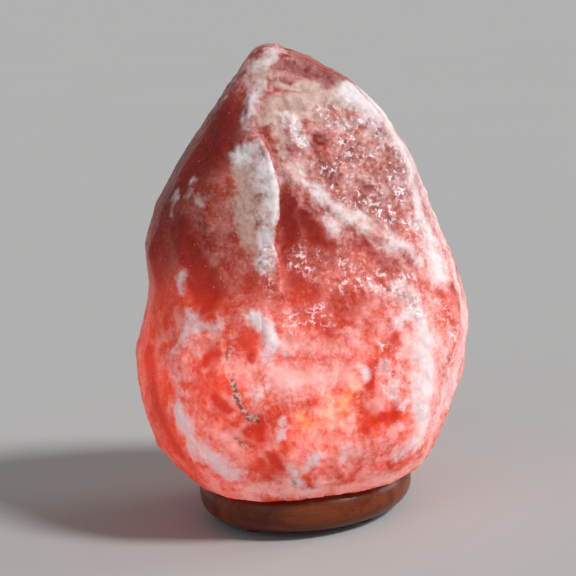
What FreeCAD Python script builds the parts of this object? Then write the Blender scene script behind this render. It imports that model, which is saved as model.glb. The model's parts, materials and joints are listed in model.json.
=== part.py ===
import FreeCAD, Part
import math
import os

import Sketcher
from FreeCAD import Vector

# Table lamp made from one rough natural salt crystal on a turned wooden base.
#
# The crystal is bored from below.  Screws through the base hold it by plugs in the salt.
# A small screw-in lampholder with a sprung clip is pushed up the base's bore from below and
# carries a pear-shaped bulb inside the crystal.  The holder pulls out downwards to change the
# bulb, which unscrews upwards out of it on a rounded right-hand thread.
#
# Millimetres and degrees.  +Z is up, the floor is Z 0, and the Z axis is the axis of the base,
# the holder and the bulb.  The front of the crystal faces -Y.

SIZES = (
    # name, value, what it measures
    ("crystal_height", 217.0, "crystal, from its sawn seat to its tip"),
    ("crystal_width", 170.0, "crystal, left to right over the widest station"),
    ("crystal_depth", 138.0, "crystal, front to back over the deepest station"),
    ("chip_share", 0.03, "how far chipped corners leave their outline, as a share of its radius"),
    ("ledge_root", 7.0, "how deep the ledges on the crystal reach under its surface"),
    ("ledge_toe", 0.4, "how far the low side of a ledge ends under the surface"),
    ("cavity_diameter", 46.0, "hole drilled up into the crystal"),
    ("cavity_depth", 96.0, "straight part of that hole"),
    ("drill_tip_height", 7.0, "cone that the drill leaves above it"),
    ("drill_tip_diameter", 20.0, "flat at the top of the cone"),
    ("base_diameter", 110.0, "turned base"),
    ("base_thickness", 20.0, "turned base"),
    ("base_lower_round", 10.0, "round on the base's lower edge"),
    ("base_upper_round", 8.0, "round on the base's upper edge"),
    ("base_bore_diameter", 44.0, "hole through the base for the lampholder"),
    ("cord_groove_width", 8.0, "groove for the lead, across the back of the underside"),
    ("cord_groove_depth", 8.0, "groove for the lead"),
    ("crystal_screw_count", 4, "screws that hold the crystal on the base"),
    ("crystal_screw_diameter", 4.0, "their shanks"),
    ("crystal_screw_length", 32.0, "under the head"),
    ("screw_head_diameter", 8.0, "their pan heads"),
    ("screw_head_height", 2.6, "their pan heads"),
    ("screw_drive_diameter", 4.0, "hollow for the driver in each head"),
    ("screw_drive_depth", 1.3, "hollow for the driver in each head"),
    ("screw_recess_depth", 6.0, "counterbore in the underside of the base"),
    ("screw_recess_margin", 0.5, "round a screw head in its counterbore"),
    ("screw_circle_inset", 14.0, "from the base's bore to the screw axes"),
    ("plug_diameter", 8.0, "nylon plug in the salt round each screw"),
    ("plug_length", 22.0, "nylon plug"),
    ("foot_count", 4, "rubber feet"),
    ("foot_diameter", 12.0, "rubber foot"),
    ("foot_height", 3.0, "rubber foot"),
    ("foot_edge_margin", 2.0, "from a foot to the round of the base's lower edge"),
    ("foot_screw_diameter", 2.4, "screw through each foot"),
    ("foot_screw_length", 8.0, "under the head"),
    ("foot_head_diameter", 5.0, "pan head of a foot's screw"),
    ("foot_head_height", 1.2, "pan head of a foot's screw"),
    ("foot_head_recess", 2.0, "depth of the head's seat above the floor"),
    ("pilot_spare_depth", 1.0, "pilot hole past the end of a foot's screw"),
    ("fit_clearance", 0.05, "between fixed pieces that fit into each other"),
    ("running_clearance", 0.3, "between the clip's arms and the base's bore"),
    ("cord_room", 8.0, "under the holder's cap, for the lead to bend into its groove"),
    ("cap_diameter", 30.0, "holder's lower cap"),
    ("cap_height", 13.0, "holder's lower cap"),
    ("cap_floor", 5.0, "holder's lower cap, the length of its inlet"),
    ("cap_edge_round", 3.0, "lower edge of the cap"),
    ("cord_inlet_diameter", 8.0, "hole for the lead in the cap's floor"),
    ("shell_diameter", 26.0, "holder's outer shell"),
    ("shell_wall", 1.4, "holder's outer shell"),
    ("shell_height", 30.0, "holder's outer shell"),
    ("shell_lip_height", 2.0, "lip at the top of the shell, over the contact carrier"),
    ("shell_lip_width", 3.0, "lip at the top of the shell"),
    ("flange_height", 2.0, "flange on the shell that holds the clip down on the cap"),
    ("clip_thickness", 0.8, "spring steel of the clip"),
    ("clip_arm_count", 3, "arms of the clip"),
    ("clip_arm_width", 7.0, "arms of the clip"),
    ("clip_arm_drop", 15.0, "from the clip's ring down to the ends of its arms"),
    ("clip_arm_root", 1.0, "part of an arm that lies in the ring"),
    ("clip_arm_shoulder", 2.0, "flat part of an arm outside the ring"),
    ("clip_arm_bow", 1.2, "from the bow's upper end out to where it grips"),
    ("clip_arm_tuck", 3.0, "from where the bow grips in to the arm's end"),
    ("terminal_room_height", 6.0, "hollow under the carrier for the wires and terminals"),
    ("terminal_room_diameter", 19.0, "hollow under the carrier"),
    ("carrier_floor", 5.0, "floor of the carrier, between the terminals and the socket"),
    ("contact_slot_width", 1.2, "slots through the carrier's floor"),
    ("contact_slot_length", 4.4, "slots through the carrier's floor"),
    ("contact_thickness", 0.4, "contact strips"),
    ("contact_width", 4.0, "contact strips"),
    ("side_slot_distance", 6.2, "from the axis to the slot of the side contact"),
    ("centre_slot_distance", 2.4, "from the axis to the slot of the centre contact"),
    ("tongue_rise", 1.7, "top of the centre contact over the carrier's floor"),
    ("tongue_slope", 1.0, "run of the centre contact's bend towards the axis"),
    ("leaf_length", 2.0, "side contact, along the carrier's floor"),
    ("terminal_screw_diameter", 3.0, "terminal screws"),
    ("terminal_screw_length", 4.0, "terminal screws, under the head"),
    ("terminal_head_diameter", 5.0, "terminal screws"),
    ("terminal_head_height", 1.8, "terminal screws"),
    ("rivet_diameter", 1.4, "rivets that hold the screw shell on the carrier"),
    ("rivet_head_diameter", 2.2, "rivets"),
    ("rivet_head_height", 0.6, "rivets"),
    ("thread_pitch", 2.822, "rounded thread of the bulb and its socket"),
    ("thread_depth", 0.8, "crest to root of that thread"),
    ("thread_clearance", 0.3, "between the bulb's thread and the socket's, on the radius"),
    ("bulb_cap_diameter", 13.9, "over the crests of the bulb's thread"),
    ("bulb_cap_wall", 0.3, "sheet metal of the bulb's cap"),
    ("bulb_cap_length", 14.0, "threaded part of the bulb's cap"),
    ("bulb_rim_height", 1.5, "plain rim over the thread"),
    ("bulb_rim_overhang", 0.25, "rim past the crests of the thread"),
    ("screw_shell_wall", 0.4, "sheet metal of the socket's threaded sleeve"),
    ("sleeve_rim_gap", 1.9, "top of the threaded sleeve under the rim of the bulb's cap"),
    ("screw_shell_opening", 8.0, "hole in the bottom of the sleeve"),
    ("sleeve_floor_overhang", 0.1, "bottom of the sleeve past the crests of its thread"),
    ("tip_diameter", 4.8, "solder tip of the bulb"),
    ("tip_height", 1.0, "solder tip of the bulb"),
    ("tip_round", 0.6, "lower edge of the solder tip"),
    ("insulator_margin", 1.0, "lower end of the glass insulator, round the solder tip"),
    ("insulator_height", 2.6, "glass insulator between tip and thread"),
    ("bulb_length", 57.0, "bulb, from its tip to the top of its glass"),
    ("glass_diameter", 25.0, "bulb's glass at its widest"),
    ("glass_neck_diameter", 11.2, "bulb's glass in its cap"),
    ("glass_neck_start", 9.0, "from the bulb's tip to the open end of the glass"),
    ("glass_wall", 0.7, "bulb's glass"),
    ("glass_cone_angle", 18.0, "slope of the glass between neck and globe"),
    ("stem_diameter", 4.0, "glass stem inside the bulb"),
    ("stem_length", 20.0, "glass stem inside the bulb"),
    ("stem_flare_height", 1.2, "foot of the stem that closes the neck"),
    ("lead_wire_diameter", 0.5, "wires that carry the filament"),
    ("lead_wire_spacing", 2.0, "between the wires where they leave the stem"),
    ("lead_wire_knee", 3.25, "where the wires spread, over the stem"),
    ("filament_span", 13.0, "between the ends of the filament"),
    ("filament_rise", 4.0, "middle of the filament over its ends"),
    ("filament_height", 13.0, "ends of the filament over the stem"),
    ("filament_diameter", 0.6, "outside of the coiled filament"),
    ("holder_travel", 90.0, "how far the holder pulls out of the base"),
    ("unscrewed_turns", 4.5, "turns that free the bulb"),
)

PARTS_FOLDER = "parts"
CUT_OVERRUN = 1.0  # how far a cutting tool runs past the face that it cuts
STRAIGHT_DOWN = Vector(0, 0, -1)
UPWARDS = Vector(0, 0, 1)
ORIGIN = Vector(0, 0, 0)
SAME_PLACE = 0.01  # how near two sizes lie that count as equal

# Heights that several pieces share, as expressions over the sheet.
BASE_BOTTOM = "Sizes.foot_height"
BASE_TOP = "(Sizes.foot_height + Sizes.base_thickness)"
CAP_BOTTOM = f"({BASE_BOTTOM} + Sizes.cord_room)"
CAP_TOP = f"({CAP_BOTTOM} + Sizes.cap_height)"
CARRIER_BOTTOM = f"({CAP_BOTTOM} + Sizes.cap_floor)"
CARRIER_TOP = f"({CARRIER_BOTTOM} + Sizes.shell_height - Sizes.shell_lip_height)"
FLOOR_BOTTOM = f"({CARRIER_BOTTOM} + Sizes.terminal_room_height)"
FLOOR_TOP = f"({FLOOR_BOTTOM} + Sizes.carrier_floor)"
BULB_TIP = f"({FLOOR_TOP} + Sizes.tongue_rise)"
BULB_TOP = f"({BULB_TIP} + Sizes.bulb_length)"
THREAD_START = f"({BULB_TIP} + Sizes.insulator_height)"
STEM_BOTTOM = f"({BULB_TIP} + Sizes.glass_neck_start)"
STEM_TOP = f"({STEM_BOTTOM} + Sizes.stem_length)"

# Radii that several pieces share.
SCREW_CIRCLE = "(Sizes.base_bore_diameter / 2 + Sizes.screw_circle_inset)"
FOOT_CIRCLE = (
    "(Sizes.base_diameter / 2 - Sizes.base_lower_round"
    " - Sizes.foot_edge_margin - Sizes.foot_diameter / 2)"
)
CARRIER_DIAMETER = "(Sizes.shell_diameter - 2 * Sizes.shell_wall - 2 * Sizes.fit_clearance)"
CAP_BORE = "(Sizes.shell_diameter + 2 * Sizes.fit_clearance)"
BULB_THREAD_RADIUS = "((Sizes.bulb_cap_diameter - Sizes.thread_depth) / 2)"
SLEEVE_RADIUS = f"({BULB_THREAD_RADIUS} + Sizes.thread_clearance)"
SLEEVE_FLOOR_RADIUS = (
    f"({SLEEVE_RADIUS} + Sizes.screw_shell_wall"
    " + Sizes.thread_depth / 2 + Sizes.sleeve_floor_overhang)"
)
SOCKET_BORE = f"(2 * ({SLEEVE_FLOOR_RADIUS} + Sizes.fit_clearance))"
RIVET_CIRCLE = f"((Sizes.screw_shell_opening / 2 + {SLEEVE_RADIUS} - Sizes.thread_depth / 2) / 2)"

THREAD_STEPS = 10  # rings that draw one turn of a thread

# How far down an arm of the clip its corners lie, as shares of its drop.
BOW_TOP = 0.30
GRIP_TOP = 0.55
GRIP_BOTTOM = 0.75

FIRST_SCREW_ANGLE = 22.5  # midway between a foot and the groove's line
FIRST_FOOT_ANGLE = 45.0

# The crystal's outline at each height: share of the height, then how far it reaches left,
# right, forward and back of the axis, as shares of the width (left, right) and of the depth.
STATIONS = (
    (0.000, 0.318, 0.357, 0.413, 0.399),
    (0.046, 0.388, 0.418, 0.457, 0.425),
    (0.115, 0.450, 0.459, 0.490, 0.457),
    (0.207, 0.471, 0.512, 0.500, 0.478),
    (0.318, 0.472, 0.528, 0.486, 0.493),
    (0.410, 0.432, 0.518, 0.442, 0.493),
    (0.475, 0.411, 0.497, 0.391, 0.478),
    (0.567, 0.414, 0.458, 0.355, 0.449),
    (0.659, 0.371, 0.421, 0.312, 0.406),
    (0.751, 0.291, 0.382, 0.261, 0.348),
    (0.834, 0.203, 0.312, 0.210, 0.275),
    (0.908, 0.132, 0.235, 0.152, 0.196),
    (0.968, 0.065, 0.115, 0.087, 0.116),
    (1.000, 0.021, 0.035, 0.029, 0.043),
)
COLUMNS = 16
COLUMN_SWAY = 5.0  # degrees that a column wanders from one station to the next
SQUARENESS = 2.25  # 2 would make each outline an ellipse

# Large flat faces where the crystal split: direction that the face looks in, seen from above
# (0 is right, 90 back), its tilt upwards, and the point that it passes through, as shares of
# width, depth and height.
SPLIT_FACES = (
    ("upper_left", 212.0, 28.0, (-0.305, -0.135, 0.697)),
    ("upper_front", 291.0, 24.0, (0.120, -0.285, 0.640)),
    ("lower_left", 196.0, -12.0, (-0.437, -0.180, 0.150)),
    ("lower_right", 334.0, -16.0, (0.405, -0.270, 0.150)),
    ("upper_back", 78.0, 31.0, (0.060, 0.375, 0.620)),
    ("back_left", 140.0, 10.0, (-0.320, 0.300, 0.450)),
    ("back_right", 40.0, 6.0, (0.375, 0.300, 0.400)),
)

# Ledges that stand where the layers beside them broke away: how far the edge stands out and how
# far its slope runs until it is back in the surface (round the axis, counterclockwise from above,
# and upwards), as shares of the crystal's height, then the course of the edge: direction from the
# axis and share of the height.
LEDGES = (
    (
        "front_ledge",
        0.0175,
        (-0.088, 0.0),
        (
            (259.0, 0.812),
            (265.5, 0.776),
            (268.0, 0.720),
            (267.0, 0.640),
            (265.5, 0.580),
            (267.5, 0.520),
            (269.0, 0.465),
        ),
    ),
    (
        "front_shelf",
        0.013,
        (0.0, -0.110),
        ((258.0, 0.432), (270.0, 0.404), (283.0, 0.384), (297.0, 0.398), (311.0, 0.412), (324.0, 0.396)),
    ),
    (
        "left_shelf",
        0.012,
        (0.037, -0.092),
        ((218.0, 0.350), (226.0, 0.412), (236.0, 0.446), (247.0, 0.452)),
    ),
    (
        "crest_step",
        0.011,
        (0.0, -0.074),
        ((245.0, 0.888), (268.0, 0.902), (290.0, 0.906), (312.0, 0.894)),
    ),
    (
        "back_ledge",
        0.015,
        (0.074, 0.0),
        ((72.0, 0.838), (86.0, 0.750), (94.0, 0.640), (92.0, 0.545)),
    ),
    (
        "back_shelf",
        0.013,
        (0.0, -0.092),
        ((42.0, 0.585), (60.0, 0.505), (84.0, 0.465), (108.0, 0.438), (132.0, 0.412)),
    ),
)

doc = FreeCAD.newDocument("salt_crystal_lamp")
sub_parts = []


def fill_sheet():
    sheet = doc.addObject("Spreadsheet::Sheet", "Sizes")
    for row, (name, value, note) in enumerate(SIZES, start=1):
        sheet.set(f"A{row}", name)
        sheet.set(f"B{row}", str(value))
        sheet.set(f"C{row}", note)
        sheet.setAlias(f"B{row}", name)
    doc.recompute()
    return sheet


def value(expression):
    """The number that an expression over the sheet comes to."""
    return float(sheet.evalExpression(expression))


def sub_part(piece, label):
    """Marks a document object as one sub-part of the lamp, under its own label."""
    piece.Label = label
    sub_parts.append(piece)
    return piece


def feature(name, shape):
    made = doc.addObject("Part::Feature", name)
    made.Shape = shape
    return made


def cylinder(name, diameter, height, bottom, x="0"):
    made = doc.addObject("Part::Cylinder", name)
    made.setExpression("Radius", f"({diameter}) / 2")
    made.setExpression("Height", height)
    made.setExpression(".Placement.Base.x", x)
    made.setExpression(".Placement.Base.z", bottom)
    return made


def cone(name, lower_diameter, upper_diameter, height, bottom):
    made = doc.addObject("Part::Cone", name)
    made.setExpression("Radius1", f"({lower_diameter}) / 2")
    made.setExpression("Radius2", f"({upper_diameter}) / 2")
    made.setExpression("Height", height)
    made.setExpression(".Placement.Base.z", bottom)
    return made


def box(name, length, width, height, x, bottom):
    """A box centred on the XZ plane, from x along X."""
    made = doc.addObject("Part::Box", name)
    made.setExpression("Length", length)
    made.setExpression("Width", width)
    made.setExpression("Height", height)
    made.setExpression(".Placement.Base.x", x)
    made.setExpression(".Placement.Base.y", f"-({width}) / 2")
    made.setExpression(".Placement.Base.z", bottom)
    return made


def fuse(name, *pieces):
    made = doc.addObject("Part::MultiFuse", name)
    made.Shapes = list(pieces)
    return made


def cut(name, base, *tools):
    made = doc.addObject("Part::Cut", name)
    made.Base = base
    made.Tool = tools[0] if len(tools) == 1 else fuse(name + "_tools", *tools)
    return made


def around(name, piece, count, first_angle):
    """A group of separate copies of a piece, evenly round the Z axis."""
    doc.recompute()
    copies = []
    for number in range(count):
        copy = piece.Shape.copy()
        copy.rotate(ORIGIN, UPWARDS, first_angle + 360.0 * number / count)
        copies.append(copy)
    return feature(name, Part.makeCompound(copies))


def count_of(name):
    return int(round(value("Sizes." + name)))


# ---- the crystal ----


def chip(station, column):
    """A fixed number from -1 to 1 that differs for each corner of the crystal."""
    scrambled = math.sin(12.9898 * station + 78.233 * column) * 43758.5453
    return 2.0 * (scrambled - math.floor(scrambled)) - 1.0


def toward(direction, reach_positive, reach_negative):
    """One coordinate of a rounded outline, from the cosine or sine of its direction."""
    reach = reach_positive if direction > 0 else reach_negative
    return math.copysign(reach * abs(direction) ** (2.0 / SQUARENESS), direction)


def station_corners(number):
    share, left, right, front, back = STATIONS[number]
    width = value("Sizes.crystal_width")
    depth = value("Sizes.crystal_depth")
    corners = []
    for column in range(COLUMNS):
        angle = 360.0 * column / COLUMNS
        swell = 1.0
        on_outline = column % (COLUMNS // 2) == 0
        if not on_outline:
            angle += COLUMN_SWAY * chip(number + 0.5, column)
            swell += value("Sizes.chip_share") * chip(number, column)
        across = math.cos(math.radians(angle))
        along = math.sin(math.radians(angle))
        x = swell * toward(across, right * width, left * width)
        y = swell * toward(along, back * depth, front * depth)
        z = value(BASE_TOP) + share * value("Sizes.crystal_height")
        corners.append(Vector(x, y, z))
    return corners


def triangle(first, second, third):
    return Part.Face(Part.makePolygon([first, second, third, first]))


def quarter_faces(low_a, low_b, high_b, high_a):
    """Two triangles between two stations, split along the diagonal that stands further out."""
    rising = (low_a + high_b) / 2
    falling = (low_b + high_a) / 2
    if math.hypot(rising.x, rising.y) > math.hypot(falling.x, falling.y):
        return [triangle(low_a, low_b, high_b), triangle(low_a, high_b, high_a)]
    return [triangle(low_a, low_b, high_a), triangle(low_b, high_b, high_a)]


def rough_crystal():
    """The crystal as flat chips between its stations, closed by its seat and its tip."""
    rings = [station_corners(number) for number in range(len(STATIONS))]
    faces = []
    for low, high in zip(rings, rings[1:]):
        for column in range(COLUMNS):
            after = (column + 1) % COLUMNS
            faces += quarter_faces(low[column], low[after], high[after], high[column])
    for ring in (rings[0], rings[-1]):
        faces.append(Part.Face(Part.makePolygon(ring + ring[:1])))
    return Part.makeSolid(Part.makeShell(faces))


def split_off(azimuth, tilt, through):
    """A block outside one split face, to be cut away."""
    size = [value("Sizes.crystal_width"), value("Sizes.crystal_depth"), value("Sizes.crystal_height")]
    point = Vector(*(share * length for share, length in zip(through, size)))
    point.z += value(BASE_TOP)
    outward = Vector(
        math.cos(math.radians(azimuth)) * math.cos(math.radians(tilt)),
        math.sin(math.radians(azimuth)) * math.cos(math.radians(tilt)),
        math.sin(math.radians(tilt)),
    )
    reach = 2 * max(size)
    block = Part.makeBox(reach, reach, reach, Vector(-reach / 2, -reach / 2, 0))
    block.Placement = FreeCAD.Placement(point, FreeCAD.Rotation(UPWARDS, outward))
    return block


def outward_at(azimuth):
    return Vector(math.cos(math.radians(azimuth)), math.sin(math.radians(azimuth)), 0)


def surface_point(shape, azimuth, height):
    """Where the crystal's surface lies in a direction from the axis, at a height."""
    start = Vector(0, 0, height)
    ray = Part.makeLine(start, start + outward_at(azimuth) * value("Sizes.crystal_width"))
    crossings = [vertex.Point for vertex in shape.common(ray).Vertexes]
    return max(crossings, key=lambda point: (point - start).Length)


def ledge_corners(shape, azimuth, share, stand, slope):
    """Four corners of a ledge's section: its edge, the end of its slope, and both again deep inside."""
    whole = value("Sizes.crystal_height")
    height = value(BASE_TOP) + share * whole
    surface = surface_point(shape, azimuth, height)
    turn = math.degrees(slope[0] * whole / math.hypot(surface.x, surface.y))
    end = surface_point(shape, azimuth + turn, height + slope[1] * whole)
    outward = outward_at(azimuth)
    end_outward = outward_at(azimuth + turn)
    root = value("Sizes.ledge_root")
    return [
        surface + outward * stand * whole,
        end - end_outward * value("Sizes.ledge_toe"),
        end - end_outward * root,
        surface - outward * root,
    ]


def ledge(shape, stand, slope, course):
    """A wedge-shaped bar of flat faces that lies in the surface along its course."""
    sections = [ledge_corners(shape, azimuth, share, stand, slope) for azimuth, share in course]
    faces = []
    for here, following in zip(sections, sections[1:]):
        for side in range(4):
            after = (side + 1) % 4
            faces.append(triangle(here[side], here[after], following[after]))
            faces.append(triangle(here[side], following[after], following[side]))
    for section in (sections[0], sections[-1]):
        faces.append(triangle(section[0], section[1], section[2]))
        faces.append(triangle(section[0], section[2], section[3]))
    bar = Part.makeSolid(Part.makeShell(faces))
    if bar.Volume < 0:
        bar.reverse()
    return bar


def make_crystal():
    split = rough_crystal()
    for _, azimuth, tilt, through in SPLIT_FACES:
        split = split.cut(split_off(azimuth, tilt, through))
    bars = [ledge(split, stand, slope, course) for _, stand, slope, course in LEDGES]
    shape = split.fuse(bars)
    blank = feature("crystal_blank", shape.removeSplitter().Solids[0])
    cavity = cylinder(
        "cavity",
        "Sizes.cavity_diameter",
        f"Sizes.cavity_depth + {CUT_OVERRUN}",
        f"{BASE_TOP} - {CUT_OVERRUN}",
    )
    tip = cone(
        "drill_tip",
        "Sizes.cavity_diameter",
        "Sizes.drill_tip_diameter",
        "Sizes.drill_tip_height",
        f"{BASE_TOP} + Sizes.cavity_depth",
    )
    plug_hole = cylinder(
        "plug_hole",
        "Sizes.plug_diameter + 2 * Sizes.fit_clearance",
        f"Sizes.plug_length + {CUT_OVERRUN}",
        f"{BASE_TOP} - {CUT_OVERRUN}",
        SCREW_CIRCLE,
    )
    plug_holes = around("plug_holes", plug_hole, count_of("crystal_screw_count"), FIRST_SCREW_ANGLE)
    sub_part(cut("crystal", blank, cavity, tip, plug_holes), "salt_crystal")


# ---- the wooden base ----


def origin_plane(body, role):
    return next(plane for plane in body.Origin.OriginFeatures if plane.Role == role)


def new_sketch(body, name):
    sketch = body.newObject("Sketcher::SketchObject", name)
    sketch.AttachmentSupport = [(origin_plane(body, "XY_Plane"), "")]
    sketch.MapMode = "FlatFace"
    return sketch


def circle_sketch(body, name, radius, distance=None):
    """A circle on the underside, on the axis or a distance along X from it."""
    sketch = new_sketch(body, name)
    start = Vector(value(distance), 0, 0) if distance else ORIGIN
    circle = sketch.addGeometry(Part.Circle(start, UPWARDS, value(radius)), False)
    size_rule = sketch.addConstraint(Sketcher.Constraint("Radius", circle, value(radius)))
    sketch.setExpression(f"Constraints[{size_rule}]", radius)
    if distance:
        sketch.addConstraint(Sketcher.Constraint("PointOnObject", circle, 3, -1))
        place_rule = sketch.addConstraint(
            Sketcher.Constraint("DistanceX", -1, 1, circle, 3, value(distance))
        )
        sketch.setExpression(f"Constraints[{place_rule}]", distance)
    else:
        sketch.addConstraint(Sketcher.Constraint("Coincident", circle, 3, -1, 1))
    return sketch


def groove_sketch(body):
    """The groove's outline: from the axis to past the base's back edge."""
    sketch = new_sketch(body, "groove_outline")
    half = value("Sizes.cord_groove_width / 2")
    reach = value("Sizes.base_diameter / 2") + CUT_OVERRUN
    corners = [Vector(-half, 0, 0), Vector(half, 0, 0), Vector(half, reach, 0), Vector(-half, reach, 0)]
    for start, end in zip(corners, corners[1:] + corners[:1]):
        sketch.addGeometry(Part.LineSegment(start, end), False)
    for line in range(4):
        sketch.addConstraint(Sketcher.Constraint("Coincident", line, 2, (line + 1) % 4, 1))
    for line, direction in enumerate(("Horizontal", "Vertical", "Horizontal", "Vertical")):
        sketch.addConstraint(Sketcher.Constraint(direction, line))
    sketch.addConstraint(Sketcher.Constraint("Symmetric", 0, 1, 0, 2, -1, 1))
    width_rule = sketch.addConstraint(Sketcher.Constraint("DistanceX", 0, 1, 0, 2, 2 * half))
    sketch.setExpression(f"Constraints[{width_rule}]", "Sizes.cord_groove_width")
    reach_rule = sketch.addConstraint(Sketcher.Constraint("DistanceY", 1, 1, 1, 2, reach))
    sketch.setExpression(f"Constraints[{reach_rule}]", f"Sizes.base_diameter / 2 + {CUT_OVERRUN}")
    return sketch


def edge_at(shape, radius, height):
    """Name of the round edge of that radius at that height."""
    for number, edge in enumerate(shape.Edges, start=1):
        is_round = isinstance(edge.Curve, Part.Circle)
        if not is_round:
            continue
        same_radius = abs(edge.Curve.Radius - radius) < SAME_PLACE
        if same_radius and abs(edge.Curve.Center.z - height) < SAME_PLACE:
            return f"Edge{number}"
    raise ValueError(f"no round edge of radius {radius} at height {height}")


def rounded_edge(body, name, before, height, radius):
    doc.recompute()
    fillet = body.newObject("PartDesign::Fillet", name)
    edge = edge_at(before.Shape, value("Sizes.base_diameter / 2"), value(height))
    fillet.Base = (before, [edge])
    fillet.setExpression("Radius", radius)
    return fillet


def pocket(body, name, sketch, depth=None):
    """Cuts upwards from the underside, to a depth or right through."""
    before = body.Shape.Volume
    made = body.newObject("PartDesign::Pocket", name)
    made.Profile = sketch
    made.Reversed = True
    if depth:
        made.setExpression("Length", depth)
    else:
        made.Type = "ThroughAll"
    doc.recompute()
    if body.Shape.Volume >= before:
        raise ValueError(f"{name} cuts nothing")
    return made


def ring_of(body, name, cuts, count, first_angle):
    """Repeats pockets evenly round the axis.  The first is turned to its angle with its sketch."""
    for made in cuts:
        sketch = made.Profile[0]
        sketch.AttachmentOffset = FreeCAD.Placement(ORIGIN, FreeCAD.Rotation(UPWARDS, first_angle))
    pattern = body.newObject("PartDesign::PolarPattern", name)
    pattern.Originals = cuts
    pattern.Axis = (cuts[0].Profile[0], ["N_Axis"])
    pattern.Angle = 360.0
    pattern.setExpression("Occurrences", count)
    body.Tip = pattern
    doc.recompute()
    return pattern


def make_base():
    body = doc.addObject("PartDesign::Body", "turned_base")
    disc = body.newObject("PartDesign::Pad", "disc")
    disc.Profile = circle_sketch(body, "disc_outline", "Sizes.base_diameter / 2")
    disc.setExpression("Length", "Sizes.base_thickness")
    lower = rounded_edge(body, "lower_round", disc, "0", "Sizes.base_lower_round")
    rounded_edge(body, "upper_round", lower, "Sizes.base_thickness", "Sizes.base_upper_round")
    doc.recompute()
    pocket(body, "holder_bore", circle_sketch(body, "bore_outline", "Sizes.base_bore_diameter / 2"))
    pocket(body, "cord_groove", groove_sketch(body), "Sizes.cord_groove_depth")
    shank = circle_sketch(
        body, "shank_outline", "Sizes.crystal_screw_diameter / 2 + Sizes.fit_clearance", SCREW_CIRCLE
    )
    head = circle_sketch(
        body, "head_outline", "Sizes.screw_head_diameter / 2 + Sizes.screw_recess_margin", SCREW_CIRCLE
    )
    screw_cuts = [
        pocket(body, "shank_hole", shank),
        pocket(body, "head_recess", head, "Sizes.screw_recess_depth"),
    ]
    ring_of(body, "screw_holes", screw_cuts, "Sizes.crystal_screw_count", FIRST_SCREW_ANGLE)
    pilot = circle_sketch(
        body, "pilot_outline", "Sizes.foot_screw_diameter / 2 + Sizes.fit_clearance", FOOT_CIRCLE
    )
    pilot_depth = (
        "Sizes.foot_screw_length - Sizes.foot_height + Sizes.foot_head_recess + Sizes.pilot_spare_depth"
    )
    pilot_cut = pocket(body, "pilot_hole", pilot, pilot_depth)
    ring_of(body, "pilot_holes", [pilot_cut], "Sizes.foot_count", FIRST_FOOT_ANGLE)
    body.setExpression(".Placement.Base.z", BASE_BOTTOM)
    sub_part(body, "wood_base")


def make_crystal_screws():
    head_bottom = f"{BASE_BOTTOM} + Sizes.screw_recess_depth - Sizes.screw_head_height"
    shank_bottom = f"{BASE_BOTTOM} + Sizes.screw_recess_depth"
    screw = fuse(
        "crystal_screw",
        cylinder(
            "screw_head",
            "Sizes.screw_head_diameter",
            "Sizes.screw_head_height",
            head_bottom,
            SCREW_CIRCLE,
        ),
        cylinder(
            "screw_shank",
            "Sizes.crystal_screw_diameter",
            "Sizes.crystal_screw_length",
            shank_bottom,
            SCREW_CIRCLE,
        ),
    )
    drive = cylinder(
        "screw_drive", "Sizes.screw_drive_diameter", "Sizes.screw_drive_depth", head_bottom, SCREW_CIRCLE
    )
    driven = cut("driven_screw", screw, drive)
    count = count_of("crystal_screw_count")
    sub_part(around("crystal_screw_group", driven, count, FIRST_SCREW_ANGLE), "crystal_screws")

    plug = cut(
        "plug",
        cylinder("plug_body", "Sizes.plug_diameter", "Sizes.plug_length", BASE_TOP, SCREW_CIRCLE),
        cylinder(
            "plug_bore",
            "Sizes.crystal_screw_diameter + 2 * Sizes.fit_clearance",
            f"Sizes.plug_length + 2 * {CUT_OVERRUN}",
            f"{BASE_TOP} - {CUT_OVERRUN}",
            SCREW_CIRCLE,
        ),
    )
    sub_part(around("plug_group", plug, count, FIRST_SCREW_ANGLE), "screw_plugs")


def make_feet():
    foot = cut(
        "foot",
        cylinder("foot_body", "Sizes.foot_diameter", "Sizes.foot_height", "0", FOOT_CIRCLE),
        cylinder(
            "foot_recess",
            "Sizes.foot_head_diameter + 4 * Sizes.fit_clearance",
            f"Sizes.foot_head_recess + {CUT_OVERRUN}",
            f"-{CUT_OVERRUN}",
            FOOT_CIRCLE,
        ),
        cylinder(
            "foot_hole",
            "Sizes.foot_screw_diameter + 2 * Sizes.fit_clearance",
            f"Sizes.foot_height + {CUT_OVERRUN}",
            "0",
            FOOT_CIRCLE,
        ),
    )
    count = count_of("foot_count")
    sub_part(around("foot_group", foot, count, FIRST_FOOT_ANGLE), "rubber_feet")

    head_bottom = "Sizes.foot_head_recess - Sizes.foot_head_height"
    screw = fuse(
        "foot_screw",
        cylinder(
            "foot_screw_head",
            "Sizes.foot_head_diameter",
            "Sizes.foot_head_height",
            head_bottom,
            FOOT_CIRCLE,
        ),
        cylinder(
            "foot_screw_shank",
            "Sizes.foot_screw_diameter",
            "Sizes.foot_screw_length",
            "Sizes.foot_head_recess",
            FOOT_CIRCLE,
        ),
    )
    sub_part(around("foot_screw_group", screw, count, FIRST_FOOT_ANGLE), "foot_screws")


# ---- the lampholder ----


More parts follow.
